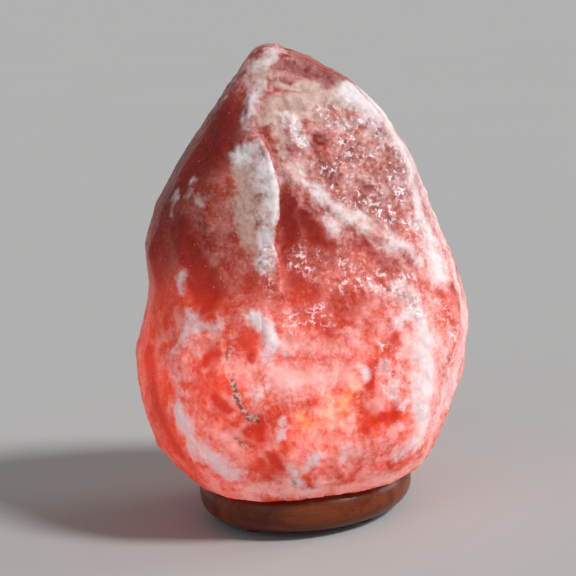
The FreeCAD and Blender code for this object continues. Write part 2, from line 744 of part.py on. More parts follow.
def make_holder_cap():
    block = cylinder("cap_block", "Sizes.cap_diameter", "Sizes.cap_height", CAP_BOTTOM)
    doc.recompute()
    lower_edge = edge_at(block.Shape, value("Sizes.cap_diameter / 2"), value(CAP_BOTTOM))
    rounded = doc.addObject("Part::Fillet", "cap_rounded")
    rounded.Base = block
    radius = value("Sizes.cap_edge_round")
    rounded.Edges = [(int(lower_edge[4:]), radius, radius)]
    cap = cut(
        "cap",
        rounded,
        cylinder("cap_hollow", CAP_BORE, f"Sizes.cap_height + {CUT_OVERRUN}", CARRIER_BOTTOM),
        cylinder(
            "cap_inlet",
            "Sizes.cord_inlet_diameter",
            f"Sizes.cap_floor + 2 * {CUT_OVERRUN}",
            f"{CAP_BOTTOM} - {CUT_OVERRUN}",
        ),
    )
    sub_part(cap, "holder_cap")


def make_holder_shell():
    flange_bottom = f"{CAP_TOP} + Sizes.clip_thickness"
    shell = cut(
        "shell",
        fuse(
            "shell_block",
            cylinder("shell_tube", "Sizes.shell_diameter", "Sizes.shell_height", CARRIER_BOTTOM),
            cylinder("shell_flange", "Sizes.cap_diameter", "Sizes.flange_height", flange_bottom),
        ),
        cylinder(
            "shell_bore",
            "Sizes.shell_diameter - 2 * Sizes.shell_wall",
            f"Sizes.shell_height - Sizes.shell_lip_height + {CUT_OVERRUN}",
            f"{CARRIER_BOTTOM} - {CUT_OVERRUN}",
        ),
        cylinder(
            "shell_mouth",
            "Sizes.shell_diameter - 2 * Sizes.shell_wall - 2 * Sizes.shell_lip_width",
            f"Sizes.shell_height + {CUT_OVERRUN}",
            CARRIER_BOTTOM,
        ),
    )
    sub_part(shell, "holder_shell")


def terminal_places():
    """X of each terminal screw: outside the centre contact's slot, and between the two slots."""
    return (
        "((Sizes.centre_slot_distance + Sizes.terminal_room_diameter / 2) / 2)",
        "((Sizes.centre_slot_distance - Sizes.side_slot_distance) / 2)",
    )


def make_carrier():
    slot = ("Sizes.contact_slot_width", "Sizes.contact_slot_length")
    slot_height = f"Sizes.carrier_floor + 2 * {CUT_OVERRUN}"
    slot_bottom = f"{FLOOR_BOTTOM} - {CUT_OVERRUN}"
    centre_place, side_place = terminal_places()
    shelf_depth = "(Sizes.contact_thickness + Sizes.fit_clearance)"
    side_slot_start = "-Sizes.side_slot_distance - Sizes.contact_slot_width"
    rivet_hole = "Sizes.rivet_diameter + 2 * Sizes.fit_clearance"
    rivet = cylinder("rivet_hole", rivet_hole, slot_height, slot_bottom, RIVET_CIRCLE)
    screw_hole = "Sizes.terminal_screw_diameter + 2 * Sizes.fit_clearance"
    screw_depth = f"Sizes.terminal_screw_length + {CUT_OVERRUN}"
    carrier = cut(
        "carrier",
        cylinder("carrier_block", CARRIER_DIAMETER, f"{CARRIER_TOP} - {CARRIER_BOTTOM}", CARRIER_BOTTOM),
        cylinder("socket_bore", SOCKET_BORE, f"{CARRIER_TOP} - {FLOOR_TOP} + {CUT_OVERRUN}", FLOOR_TOP),
        cylinder(
            "terminal_room",
            "Sizes.terminal_room_diameter",
            f"Sizes.terminal_room_height + {CUT_OVERRUN}",
            f"{CARRIER_BOTTOM} - {CUT_OVERRUN}",
        ),
        box("centre_slot", *slot, slot_height, "Sizes.centre_slot_distance", slot_bottom),
        box("side_slot", *slot, slot_height, side_slot_start, slot_bottom),
        box(
            "side_shelf",
            "Sizes.contact_slot_width + Sizes.leaf_length",
            "Sizes.contact_slot_length",
            f"{shelf_depth} + {CUT_OVERRUN}",
            side_slot_start,
            f"{FLOOR_TOP} - {shelf_depth}",
        ),
        cylinder("centre_screw_hole", screw_hole, screw_depth, slot_bottom, centre_place),
        cylinder("side_screw_hole", screw_hole, screw_depth, slot_bottom, side_place),
        around("rivet_holes", rivet, 2, 90.0),
    )
    sub_part(carrier, "contact_carrier")


def corkscrew(radius, length, bottom):
    """A rounded single-start thread: circles set off the axis, whose centres climb a thin helix."""
    offset = value("Sizes.thread_depth") / 2
    pitch = value("Sizes.thread_pitch")
    steps = math.ceil(length / pitch * THREAD_STEPS)
    circles = []
    for step in range(steps + 1):
        height = bottom + length * step / steps
        # The angle counts from the floor for every thread, so that they lie in mesh.
        angle = 2 * math.pi * height / pitch
        centre = Vector(offset * math.cos(angle), offset * math.sin(angle), height)
        circles.append(Part.Wire(Part.makeCircle(radius, centre, UPWARDS)))
    return Part.makeLoft(circles, True, True)


def is_flat(face):
    return isinstance(face.Surface, Part.Plane)


def flat_ends(solid):
    return sorted(filter(is_flat, solid.Faces), key=lambda face: face.CenterOfMass.z)


def threaded_tube(inner_radius, wall, length, bottom):
    """Thread rolled in sheet metal: an outer and an inner skin, joined by a flat ring at each end."""
    outer = corkscrew(inner_radius + wall, length, bottom)
    inner = corkscrew(inner_radius, length, bottom)
    faces = [face for face in outer.Faces + inner.Faces if not is_flat(face)]
    for outer_end, inner_end in zip(flat_ends(outer), flat_ends(inner)):
        faces += outer_end.cut(inner_end).Faces
    skin = Part.makeShell(faces)
    skin.sewShape()
    return Part.makeSolid(skin)


def make_screw_shell():
    wall = value("Sizes.screw_shell_wall")
    bottom = value(FLOOR_TOP)
    inner = value(SLEEVE_RADIUS)
    top = value(f"{THREAD_START} + Sizes.bulb_cap_length - Sizes.sleeve_rim_gap")
    tube = threaded_tube(inner, wall, top - bottom - wall, bottom + wall)
    floor = Part.makeCylinder(value(SLEEVE_FLOOR_RADIUS), wall, Vector(0, 0, bottom))
    opening = Part.makeCylinder(value("Sizes.screw_shell_opening") / 2, wall, Vector(0, 0, bottom))
    hole_radius = value("Sizes.rivet_diameter / 2 + Sizes.fit_clearance")
    rivet_hole = Part.makeCylinder(hole_radius, wall, Vector(0, value(RIVET_CIRCLE), bottom))
    other_hole = rivet_hole.mirror(ORIGIN, Vector(0, 1, 0))
    shape = floor.cut([opening, rivet_hole, other_hole]).fuse(tube)
    sub_part(feature("sleeve", shape.Solids[0]), "screw_shell")


def bent_strip(points, thickness, width):
    """A strip of sheet metal bent along points in the XZ plane, thick on the left of its path."""
    offset_points = []
    for number, point in enumerate(points):
        before = points[max(number - 1, 0)]
        after = points[min(number + 1, len(points) - 1)]
        into = (point - before).normalize() if number else (after - point).normalize()
        out = (after - point).normalize() if number < len(points) - 1 else into
        left_in = Vector(-into.z, 0, into.x)
        left_out = Vector(-out.z, 0, out.x)
        middle = (left_in + left_out).normalize()
        offset_points.append(point + middle * (thickness / middle.dot(left_in)))
    outline = points + offset_points[::-1]
    face = Part.Face(Part.makePolygon(outline + outline[:1]))
    strip = face.extrude(Vector(0, width, 0))
    strip.translate(Vector(0, -width / 2, 0))
    return strip


def make_contacts():
    thickness = value("Sizes.contact_thickness")
    width = value("Sizes.contact_width")
    gap = value("Sizes.fit_clearance")
    under = value(FLOOR_BOTTOM)
    over = value(FLOOR_TOP)
    centre_place, side_place = (value(place) for place in terminal_places())
    half_head = value("Sizes.terminal_head_diameter") / 2
    tip = value(BULB_TIP) - thickness

    riser = value("Sizes.centre_slot_distance") + gap
    rest = value("Sizes.tip_diameter") / 2
    tongue = [
        Vector(centre_place + half_head, 0, under - thickness),
        Vector(riser, 0, under - thickness),
        Vector(riser, 0, over + thickness),
        Vector(riser - value("Sizes.tongue_slope"), 0, tip),
        Vector(-rest, 0, tip),
    ]
    centre = bent_strip(tongue[::-1], thickness, width)
    screw_radius = value("Sizes.terminal_screw_diameter") / 2 + gap
    screw = Part.makeCylinder(screw_radius, 4 * thickness, Vector(centre_place, 0, under - 2 * thickness))
    sub_part(feature("tongue", centre.cut(screw)), "centre_contact")

    riser = -value("Sizes.side_slot_distance") - value("Sizes.contact_slot_width") + gap + thickness
    leaf = [
        Vector(side_place + half_head, 0, under),
        Vector(riser, 0, under),
        Vector(riser, 0, over - thickness),
        Vector(riser + value("Sizes.leaf_length"), 0, over - thickness),
    ]
    side = bent_strip(leaf, thickness, width)
    screw = Part.makeCylinder(screw_radius, 4 * thickness, Vector(side_place, 0, under - 2 * thickness))
    sub_part(feature("leaf", side.cut(screw)), "side_contact")


def make_terminal_screws():
    head = ("Sizes.terminal_head_diameter", "Sizes.terminal_head_height")
    shank = ("Sizes.terminal_screw_diameter", "Sizes.terminal_screw_length")
    shank_bottom = f"{FLOOR_BOTTOM} - Sizes.contact_thickness"
    head_bottom = f"{shank_bottom} - Sizes.terminal_head_height"
    screws = []
    for name, place in zip(("centre_terminal", "side_terminal"), terminal_places()):
        screw_head = cylinder(name + "_head", *head, head_bottom, place)
        screw_shank = cylinder(name + "_shank", *shank, shank_bottom, place)
        screws.append(fuse(name, screw_head, screw_shank))
    doc.recompute()
    group = Part.makeCompound([screw.Shape for screw in screws])
    sub_part(feature("terminal_group", group), "terminal_screws")


def make_rivets():
    grip = "Sizes.carrier_floor + Sizes.screw_shell_wall"
    rivet = fuse(
        "rivet",
        cylinder("rivet_shank", "Sizes.rivet_diameter", grip, FLOOR_BOTTOM, RIVET_CIRCLE),
        cylinder(
            "rivet_upper_head",
            "Sizes.rivet_head_diameter",
            "Sizes.rivet_head_height",
            f"{FLOOR_TOP} + Sizes.screw_shell_wall",
            RIVET_CIRCLE,
        ),
        cylinder(
            "rivet_lower_head",
            "Sizes.rivet_head_diameter",
            "Sizes.rivet_head_height",
            f"{FLOOR_BOTTOM} - Sizes.rivet_head_height",
            RIVET_CIRCLE,
        ),
    )
    sub_part(around("rivet_group", rivet, 2, 90.0), "shell_rivets")


def make_clip():
    """A flat spring-steel ring with bowed arms that press outwards on the base's bore."""
    thickness = value("Sizes.clip_thickness")
    ring_bottom = value(CAP_TOP)
    ring_radius = value("Sizes.cap_diameter") / 2
    corner_radius = value("Sizes.base_bore_diameter") / 2 - value("Sizes.running_clearance")
    grip_radius = math.sqrt(corner_radius**2 - (value("Sizes.clip_arm_width") / 2) ** 2)
    drop = value("Sizes.clip_arm_drop")
    ring = Part.makeCylinder(ring_radius, thickness, Vector(0, 0, ring_bottom))
    hole = Part.makeCylinder(value(CAP_BORE) / 2, thickness, Vector(0, 0, ring_bottom))
    arm_path = [
        Vector(ring_radius - value("Sizes.clip_arm_root"), 0, ring_bottom + thickness),
        Vector(ring_radius + value("Sizes.clip_arm_shoulder"), 0, ring_bottom + thickness),
        Vector(grip_radius - value("Sizes.clip_arm_bow"), 0, ring_bottom - BOW_TOP * drop),
        Vector(grip_radius, 0, ring_bottom - GRIP_TOP * drop),
        Vector(grip_radius, 0, ring_bottom - GRIP_BOTTOM * drop),
        Vector(grip_radius - value("Sizes.clip_arm_tuck"), 0, ring_bottom - drop),
    ]
    arm = bent_strip(arm_path[::-1], thickness, value("Sizes.clip_arm_width"))
    count = count_of("clip_arm_count")
    arms = []
    for number in range(count):
        copy = arm.copy()
        copy.rotate(ORIGIN, UPWARDS, 360.0 * number / count)
        arms.append(copy)
    shape = ring.cut(hole).fuse(arms).removeSplitter()
    sub_part(feature("clip", shape.Solids[0]), "spring_clip")


# ---- the bulb ----


def revolved(points_and_arcs):
    """A solid turned about the Z axis from edges in the XZ plane."""
    face = Part.Face(Part.Wire(points_and_arcs))
    return face.revolve(ORIGIN, UPWARDS, 360)


def line(start, end):
    return Part.LineSegment(start, end).toShape()


def glass_outline(inset):
    """Points down one side of the glass: top, a point on the globe, cone start, neck start."""
    radius = value("Sizes.glass_diameter") / 2 - inset
    centre = value(BULB_TOP) - value("Sizes.glass_diameter") / 2
    slope = math.radians(value("Sizes.glass_cone_angle"))
    neck = value("Sizes.glass_neck_diameter") / 2 - inset
    cone_start = Vector(radius * math.cos(slope), 0, centre - radius * math.sin(slope))
    run = (cone_start.x - neck) / math.sin(slope)
    neck_start = Vector(neck, 0, cone_start.z - run * math.cos(slope))
    side = Vector(radius, 0, centre)
    return Vector(0, 0, centre + radius), side, cone_start, neck_start


def make_bulb_glass():
    outer_top, outer_side, outer_cone, outer_neck = glass_outline(0.0)
    inner_top, inner_side, inner_cone, inner_neck = glass_outline(value("Sizes.glass_wall"))
    end = value(STEM_BOTTOM)
    outer_end = Vector(outer_neck.x, 0, end)
    inner_end = Vector(inner_neck.x, 0, end)
    edges = [
        Part.Arc(outer_top, outer_side, outer_cone).toShape(),
        line(outer_cone, outer_neck),
        line(outer_neck, outer_end),
        line(outer_end, inner_end),
        line(inner_end, inner_neck),
        line(inner_neck, inner_cone),
        Part.Arc(inner_cone, inner_side, inner_top).toShape(),
        line(inner_top, outer_top),
    ]
    sub_part(feature("glass", revolved(edges)), "bulb_glass")


def make_bulb_cap():
    wall = value("Sizes.bulb_cap_wall")
    outer = value(BULB_THREAD_RADIUS)
    bottom = value(THREAD_START)
    length = value("Sizes.bulb_cap_length")
    tube = threaded_tube(outer - wall, wall, length, bottom)
    rim_height = value("Sizes.bulb_rim_height")
    rim_radius = value("Sizes.bulb_cap_diameter / 2 + Sizes.bulb_rim_overhang")
    rim = Part.makeCylinder(rim_radius, rim_height, Vector(0, 0, bottom + length))
    neck = value("Sizes.glass_neck_diameter") / 2 + value("Sizes.fit_clearance")
    rim_hole = Part.makeCylinder(neck, rim_height, Vector(0, 0, bottom + length))
    shape = rim.cut(rim_hole).fuse(tube)
    sub_part(feature("threaded_cap", shape.Solids[0]), "bulb_cap")


def make_bulb_foot():
    """The glass insulator that closes the cap, and the solder tip under it."""
    tip = cylinder("tip_block", "Sizes.tip_diameter", "Sizes.tip_height", BULB_TIP)
    doc.recompute()
    lower_edge = edge_at(tip.Shape, value("Sizes.tip_diameter / 2"), value(BULB_TIP))
    rounded = doc.addObject("Part::Fillet", "tip_rounded")
    rounded.Base = tip
    radius = value("Sizes.tip_round")
    rounded.Edges = [(int(lower_edge[4:]), radius, radius)]
    sub_part(rounded, "tip_contact")

    plug_diameter = "(Sizes.glass_neck_diameter - 2 * Sizes.fit_clearance)"
    cone_height = "(Sizes.insulator_height - Sizes.tip_height)"
    lower_diameter = "Sizes.tip_diameter + 2 * Sizes.insulator_margin"
    cone_bottom = f"{BULB_TIP} + Sizes.tip_height"
    insulator = fuse(
        "insulator",
        cone("insulator_cone", lower_diameter, plug_diameter, cone_height, cone_bottom),
        cylinder("insulator_plug", plug_diameter, "Sizes.insulator_height", THREAD_START),
    )
    sub_part(insulator, "bulb_insulator")


def make_stem():
    flare_diameter = "(Sizes.glass_neck_diameter - 2 * Sizes.glass_wall - 2 * Sizes.fit_clearance)"
    stem = fuse(
        "stem",
        cylinder("stem_flare", flare_diameter, "Sizes.stem_flare_height", STEM_BOTTOM),
        cylinder("stem_rod", "Sizes.stem_diameter", "Sizes.stem_length", STEM_BOTTOM),
    )
    sub_part(stem, "bulb_stem")


def wire_along(points, diameter):
    """A wire through points, as round rods with round joints."""
    pieces = [
        Part.makeCylinder(diameter / 2, (end - start).Length, start, end - start)
        for start, end in zip(points, points[1:])
    ]
    pieces += [Part.makeSphere(diameter / 2, point) for point in points[1:-1]]
    return pieces[0].fuse(pieces[1:]).removeSplitter()


def make_filament():
    stem_top = value(STEM_TOP)
    wire = value("Sizes.lead_wire_diameter")
    coil = value("Sizes.filament_diameter")
    half_span = value("Sizes.filament_span") / 2
    rise = value("Sizes.filament_rise")
    ends = stem_top + value("Sizes.filament_height")
    foot = value("Sizes.lead_wire_spacing") / 2

    leads = []
    for side in (-1, 1):
        start = Vector(side * foot, 0, stem_top)
        knee = Vector(side * foot, 0, stem_top + value("Sizes.lead_wire_knee"))
        top = Vector(side * half_span, 0, ends - coil / 2)
        leads.append(wire_along([start, knee, top], wire).Solids[0])
    sub_part(feature("leads", Part.makeCompound(leads)), "lead_wires")

    lower = ends + wire / 2
    arc = Part.Arc(Vector(-half_span, 0, lower), Vector(0, 0, ends + rise), Vector(half_span, 0, lower))
    path = Part.Wire(arc.toShape())
    tangent = arc.tangent(arc.FirstParameter)[0]
    ring = Part.Wire(Part.makeCircle(coil / 2, arc.StartPoint, tangent))
    filament = path.makePipeShell([ring], True, True)
    sub_part(feature("coil", filament), "filament")

    support_height = value("Sizes.filament_height") + rise - coil / 2
    support = Part.makeCylinder(wire / 2, support_height, Vector(0, 0, stem_top))
    sub_part(feature("support", support), "filament_support")


def check_and_write():
    """Stops on any object that failed, then writes each sub-part under its label."""
    doc.recompute()
    for made in doc.Objects:
        if "Invalid" in made.State or "Error" in made.State:
            raise ValueError(f"{made.Name} failed: {made.State}")
    for made in sub_parts:
        shape = made.Shape
        if shape.isNull() or not shape.isValid() or not shape.Solids:
            raise ValueError(f"{made.Label} has no valid solid")
    os.makedirs(PARTS_FOLDER, exist_ok=True)
    for made in sub_parts:
        made.Shape.exportStep(os.path.join(PARTS_FOLDER, made.Label + ".step"))
        print(made.Label, len(made.Shape.Solids), round(made.Shape.Volume, 1))


sheet = fill_sheet()
make_crystal()
make_base()
make_crystal_screws()
make_feet()
make_holder_cap()
make_holder_shell()
make_carrier()
make_screw_shell()
make_contacts()
make_terminal_screws()
make_rivets()
make_clip()
make_bulb_glass()
make_bulb_cap()
make_bulb_foot()
make_stem()
make_filament()
check_and_write()
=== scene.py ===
import json
import math

import bpy
import bmesh
import numpy as np
from mathutils import Matrix, Vector, noise
from mathutils.bvhtree import BVHTree
from mathutils.kdtree import KDTree

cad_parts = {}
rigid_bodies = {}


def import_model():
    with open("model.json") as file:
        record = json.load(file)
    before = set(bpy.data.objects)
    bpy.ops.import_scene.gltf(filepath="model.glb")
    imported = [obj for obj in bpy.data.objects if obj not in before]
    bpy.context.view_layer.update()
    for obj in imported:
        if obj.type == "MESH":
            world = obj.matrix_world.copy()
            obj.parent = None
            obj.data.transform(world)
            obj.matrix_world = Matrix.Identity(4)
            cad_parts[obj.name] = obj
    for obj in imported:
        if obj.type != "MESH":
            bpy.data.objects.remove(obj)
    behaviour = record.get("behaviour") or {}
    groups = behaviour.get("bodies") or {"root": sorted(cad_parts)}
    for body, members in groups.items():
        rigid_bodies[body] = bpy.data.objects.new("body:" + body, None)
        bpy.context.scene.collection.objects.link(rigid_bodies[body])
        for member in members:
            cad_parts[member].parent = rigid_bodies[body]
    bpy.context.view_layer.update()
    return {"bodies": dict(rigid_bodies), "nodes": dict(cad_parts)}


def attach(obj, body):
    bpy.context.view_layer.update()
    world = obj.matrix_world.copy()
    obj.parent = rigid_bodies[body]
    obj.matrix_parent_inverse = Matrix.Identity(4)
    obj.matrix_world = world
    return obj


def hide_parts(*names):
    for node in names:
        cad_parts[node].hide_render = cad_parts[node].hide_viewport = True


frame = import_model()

# Looks of a salt crystal lamp: a rough lump of orange-red rock salt, lit from inside, on a turned
# wooden base.  The crystal is sculpted over the plain solid; the other pieces keep their solids
# and get their materials here.

MM = 0.001
NODES = frame["nodes"]

# ---- the crystal's shape, in millimetres until its mesh is made ----

SEAT_HEIGHT = 23.0  # the crystal's flat underside, on the base
SEAT_RADIUS = 50.0
SEAT_SLACK = 0.2
SEAT_EASE = 5.0  # the relief grows to its full height over this much above the seat
CRYSTAL_CENTRE = (4.0, 0.0, 128.0)
CRYSTAL_REACH = (85.0, 69.0, 108.0)
WELL_OUTSIDE = 400.0  # from here a ray toward the centre meets the outside of the crystal first
GRID = 126  # faces along one side of each sixth of the crystal
SMOOTHING_ROUNDS = 4
RAGGED_SEED = 7  # for the slow noise that makes strokes ragged; 0 would follow the clock

# The cavity for the bulb, with the drill's cone at its top, and the holes for the screws' plugs.
DRILL_START = SEAT_HEIGHT - 4  # below the seat, so that the drills cut clean through it
CAVITY_RADIUS = 23.0
CAVITY_TOP = 119.0
CAVITY_TIP = (10.0, 126.0)  # radius and height where the cone ends
CAVITY_RINGS = 13
CAVITY_SEGMENTS = 72
PLUG_HOLE_RADIUS = 4.05
PLUG_HOLE_TOP = 45.0
PLUG_HOLE_SEGMENTS = 24
PLUG_CIRCLE = 36.0
PLUG_ANGLES = (22.5, 112.5, 202.5, 292.5)

# How strokes and faces wander: size of the slow noise, and how far it shifts them.
RAGGED_RELIEF = (9.0, 1.4)
RAGGED_FACES = (8.0, 1.2)
RAGGED_PAINT = ((16.0, 3.6), (5.0, 1.6))
RAGGED_STAINS = (6.0, 0.8)

# Relief all over the crystal: spacing, stretch and seed of each layer, and some heights.
WIDE_DISHES = (27.0, (1, 1, 1.4), 3)
DISHES = (11.0, (1, 1, 1.3), 5)
FLAT_FACES = (8.5, (1, 1, 1.2), 9)
CHIPS = (3.6, (1, 1, 1), 12)
DISH_MIDDLE = 0.25  # the level between a dish's middle and its ridges that stays in place
WIDE_DISH_HEIGHT = 1.3
WHITE_SALT_HEIGHT = 0.4  # how far white veins stand out
LEDGE_STEP = 1.2  # how far the surface right of the ledge's edge steps in
LEDGE_STEP_REACH = 8.0
LEDGE_PAINT_REACH = 12.0  # this near the edge, white salt ends at it
LEDGE_PAINT_OVERLAP = 0.4
BULGE_TOP = 122.0  # from here down the crystal bulges, and its dishes are deeper
BULGE_FULL = 100.0
SWELLS = (15.0, 3)  # size and detail
ROUGHNESS = (3.0, 2)

# The bulb's light, which fades toward the crystal's top, through thick salt and at its foot.
GLOW_FULL = 84.0
GLOW_TOP = 205.0
GLOW_FADE = 2.5
GLOW_RADIUS = 64.0
GLOW_DEPTH = 60.0
FOOT_BOTTOM = 24.0
FOOT_TOP = 62.0
STRONGEST_GLOW = 1.2
CAVITY_GLOW = 1.3

# The sharp edge of the front ledge, from its top down.
LEDGE_EDGE = (
    (-7, -34, 199),
    (-3, -37, 191),
    (-1, -38, 179),
    (-2, -44, 162),
    (-4, -50, 149),
    (-2, -50, 136),
    (-1, -58, 124),
)

# Ridges (positive height) and cracks (negative): height, half width, course.
RIDGES = (
    (1.0, 3.5, ((-10, -22, 218), (-12, -30, 199), (-22, -32, 195), (-31, -34, 180),
                (-36, -40, 162))),
    (0.8, 3.5, ((-36, -40, 162), (-34, -45, 148), (-32, -50, 132), (-36, -53, 120))),
    (0.9, 4.0, ((-36, -53, 120), (-46, -50, 117), (-52, -49, 108), (-58, -47, 100))),
    (0.8, 3.0, ((3, -37, 185), (19, -39, 167), (44, -38, 149), (68, -31, 132))),
    (1.5, 4.2, ((-19, -58, 119), (-14, -59, 116), (-11, -62, 110), (-13, -63, 103),
                (-15, -65, 98))),
    (0.9, 3.0, ((-8, -63, 105), (-2, -64, 99), (3, -65, 96))),
    (1.0, 4.5, ((53, -50, 116), (61, -45, 120), (68, -41, 113), (72, -41, 103))),
    (-1.5, 1.3, ((-31, -62, 103), (-33, -65, 96), (-30, -67, 86), (-28, -68, 76), (-23, -69, 68))),
    (1.0, 2.0, ((-34, -66, 90), (-31, -67, 83), (-28, -68, 76), (-24, -69, 71))),
    (-1.1, 1.2, ((-33, -65, 61), (-31, -66, 59), (-27, -66, 55), (-21, -67, 52), (-16, -67, 50))),
    (-1.0, 1.8, ((-56, -49, 96), (-59, -48, 80), (-61, -47, 64), (-56, -51, 48))),
    (-0.9, 1.5, ((44, -61, 96), (40, -63, 84), (46, -61, 72), (44, -61, 60))),
    (0.9, 3.5, ((-8, 4, 238), (-20, 14, 218), (-34, 24, 196), (-50, 24, 172))),
    (1.0, 3.5, ((20, 6, 234), (34, 16, 214), (50, 22, 190), (62, 28, 168))),
    (-1.1, 1.4, ((-30, 62, 100), (-24, 64, 88), (-27, 64, 74), (-20, 64, 60))),
    (-1.1, 1.4, ((56, 50, 110), (60, 48, 96), (54, 52, 82))),
)

# Paint on the salt: half width, strength and course of each vein, patch, stain or place.
WHITE_SALT = (
    # the front's upper half: apex, cap, right rim
    (4.6, 0.45, ((0, -7, 238), (2, -11, 234), (-3, -14, 231))),
    (3.2, 0.30, ((-7, -16, 227), (-8, -21, 221))),
    (4.2, 0.75, ((-9, -22, 218), (-9, -26, 213), (-11, -27, 209))),
    (3.8, 0.70, ((-10, -28, 206), (-6, -29, 203))),
    (4.6, 0.85, ((7, -25, 204), (10, -26, 200), (13, -27, 196))),
    (8.0, 1.00, ((36, -8, 217), (42, -8, 212), (48, -8, 206), (51, -10, 200))),
    (6.0, 1.00, ((46, 3, 214), (52, 1, 206), (57, 0, 198))),
    (4.6, 0.60, ((31, -10, 214), (38, -10, 211), (45, -10, 206))),
    (4.4, 0.55, ((34, -16, 202), (41, -14, 200), (48, -11, 201))),
    (7.6, 0.75, ((57, -5, 196), (61, -9, 188), (65, -12, 178), (67, -15, 166))),
    (7.0, 0.50, ((58, 7, 198), (65, 5, 186), (70, 2, 174), (73, -1, 162), (77, -4, 148))),
    (7.0, 0.50, ((77, -5, 146), (80, -8, 132), (83, -12, 118), (84, -14, 104))),
    (8.0, 0.45, ((84, -14, 100), (84, -16, 88), (80, -22, 74), (74, -26, 60))),
    (6.6, 0.65, ((67, -18, 160), (70, -21, 147), (73, -26, 133), (75, -30, 121))),
    # the ledge, the creamy vein and what hangs on them
    (6.0, 1.00, ((-17, -33, 192), (-13, -35, 194), (-9, -36, 194), (-6, -38, 190))),
    (8.0, 1.00, ((-6, -39, 188), (-5, -42, 180), (-6, -45, 171), (-7, -47, 164))),
    (6.0, 0.95, ((-8, -49, 158), (-9, -51, 149), (-9, -53, 140))),
    (4.4, 0.60, ((5, -36, 184), (8, -37, 180), (14, -37, 175))),
    (5.0, 0.62, ((18, -38, 171), (25, -39, 164), (32, -39, 158), (39, -38, 153))),
    (5.6, 0.62, ((49, -38, 144), (60, -38, 138), (67, -35, 133))),
    (3.4, 0.35, ((23, -40, 159), (25, -43, 153), (31, -41, 153))),
    (5.2, 0.85, ((53, -47, 124), (58, -47, 119), (60, -48, 114))),
    (3.6, 0.50, ((39, -51, 123), (45, -50, 122))),
    # the front's lower half
    (5.6, 1.00, ((-17, -59, 117), (-13, -62, 110), (-10, -65, 102), (-12, -65, 97))),
    (3.2, 0.50, ((-7, -65, 100), (-1, -66, 98))),
    (4.2, 0.50, ((-48, -47, 118), (-53, -47, 111), (-58, -46, 103), (-60, -49, 97))),
    (3.6, 0.50, ((-46, -51, 115), (-39, -56, 114), (-34, -57, 117))),
    (4.6, 0.50, ((-60, -50, 97), (-59, -51, 90), (-58, -53, 83))),
    (5.2, 0.95, ((-57, -54, 81), (-58, -54, 73))),
    (5.4, 0.38, ((-58, -56, 65), (-55, -57, 58), (-50, -59, 53), (-43, -60, 47), (-37, -60, 40))),
    (4.2, 0.60, ((-19, -69, 81), (-15, -69, 84))),
    (3.8, 0.85, ((-8, -72, 69), (-9, -72, 64), (-11, -70, 59))),
    (3.2, 0.40, ((-2, -69, 84), (3, -69, 82))),
    (3.6, 0.80, ((6, -68, 46), (2, -68, 42))),
    (3.0, 0.60, ((21, -68, 51), (20, -67, 45))),
    (4.0, 0.60, ((-6, -65, 40), (-2, -63, 34), (0, -61, 29))),
    (5.0, 0.75, ((50, -56, 108), (56, -54, 109), (62, -51, 107))),
    (6.6, 0.75, ((63, -51, 104), (63, -53, 93), (64, -54, 82), (62, -55, 75))),
    (5.2, 0.55, ((59, -57, 68), (59, -56, 60), (60, -53, 54), (58, -51, 46))),
    (7.0, 0.60, ((74, -42, 84), (75, -39, 75), (73, -38, 66), (69, -41, 58))),
    (4.6, 0.50, ((46, -55, 37), (52, -54, 41))),
    (4.6, 0.50, ((45, -62, 88), (49, -61, 81), (48, -61, 75), (51, -61, 69))),
    (3.8, 0.60, ((34, -63, 85), (29, -64, 89))),
    (4.2, 0.35, ((13, -66, 97), (6, -66, 99))),
    # hazy spots on the left plane
    (3.4, 0.55, ((-42, -26, 181), (-43, -28, 174))),
    (3.0, 0.40, ((-51, -23, 173), (-52, -26, 166))),
    (2.6, 0.35, ((-40, -34, 173), (-39, -35, 168))),
    (2.6, 0.45, ((-23, -12, 217), (-21, -13, 213))),
    (2.6, 0.50, ((-16, -9, 226), (-15, -10, 223))),
    (2.8, 0.35, ((-53, -38, 135), (-52, -40, 129))),
    # the back
    (4.0, 0.70, ((8, 34, 198), (2, 44, 180), (-4, 52, 160), (-3, 58, 142), (4, 62, 128))),
    (5.0, 0.65, ((-44, 46, 116), (-24, 60, 108), (-4, 64, 96), (14, 66, 82), (34, 60, 72))),
    (6.5, 0.60, ((56, 40, 150), (68, 34, 126), (72, 36, 100), (66, 42, 78))),
    (5.0, 0.50, ((-66, 24, 122), (-72, 12, 98), (-70, 18, 74), (-60, 28, 52))),
    (4.5, 0.50, ((-34, 26, 194), (-44, 30, 172), (-52, 34, 150))),
    (4.0, 0.60, ((20, 66, 50), (30, 60, 40))),
    (4.0, 0.60, ((-22, 62, 64), (-14, 63, 56))),
)
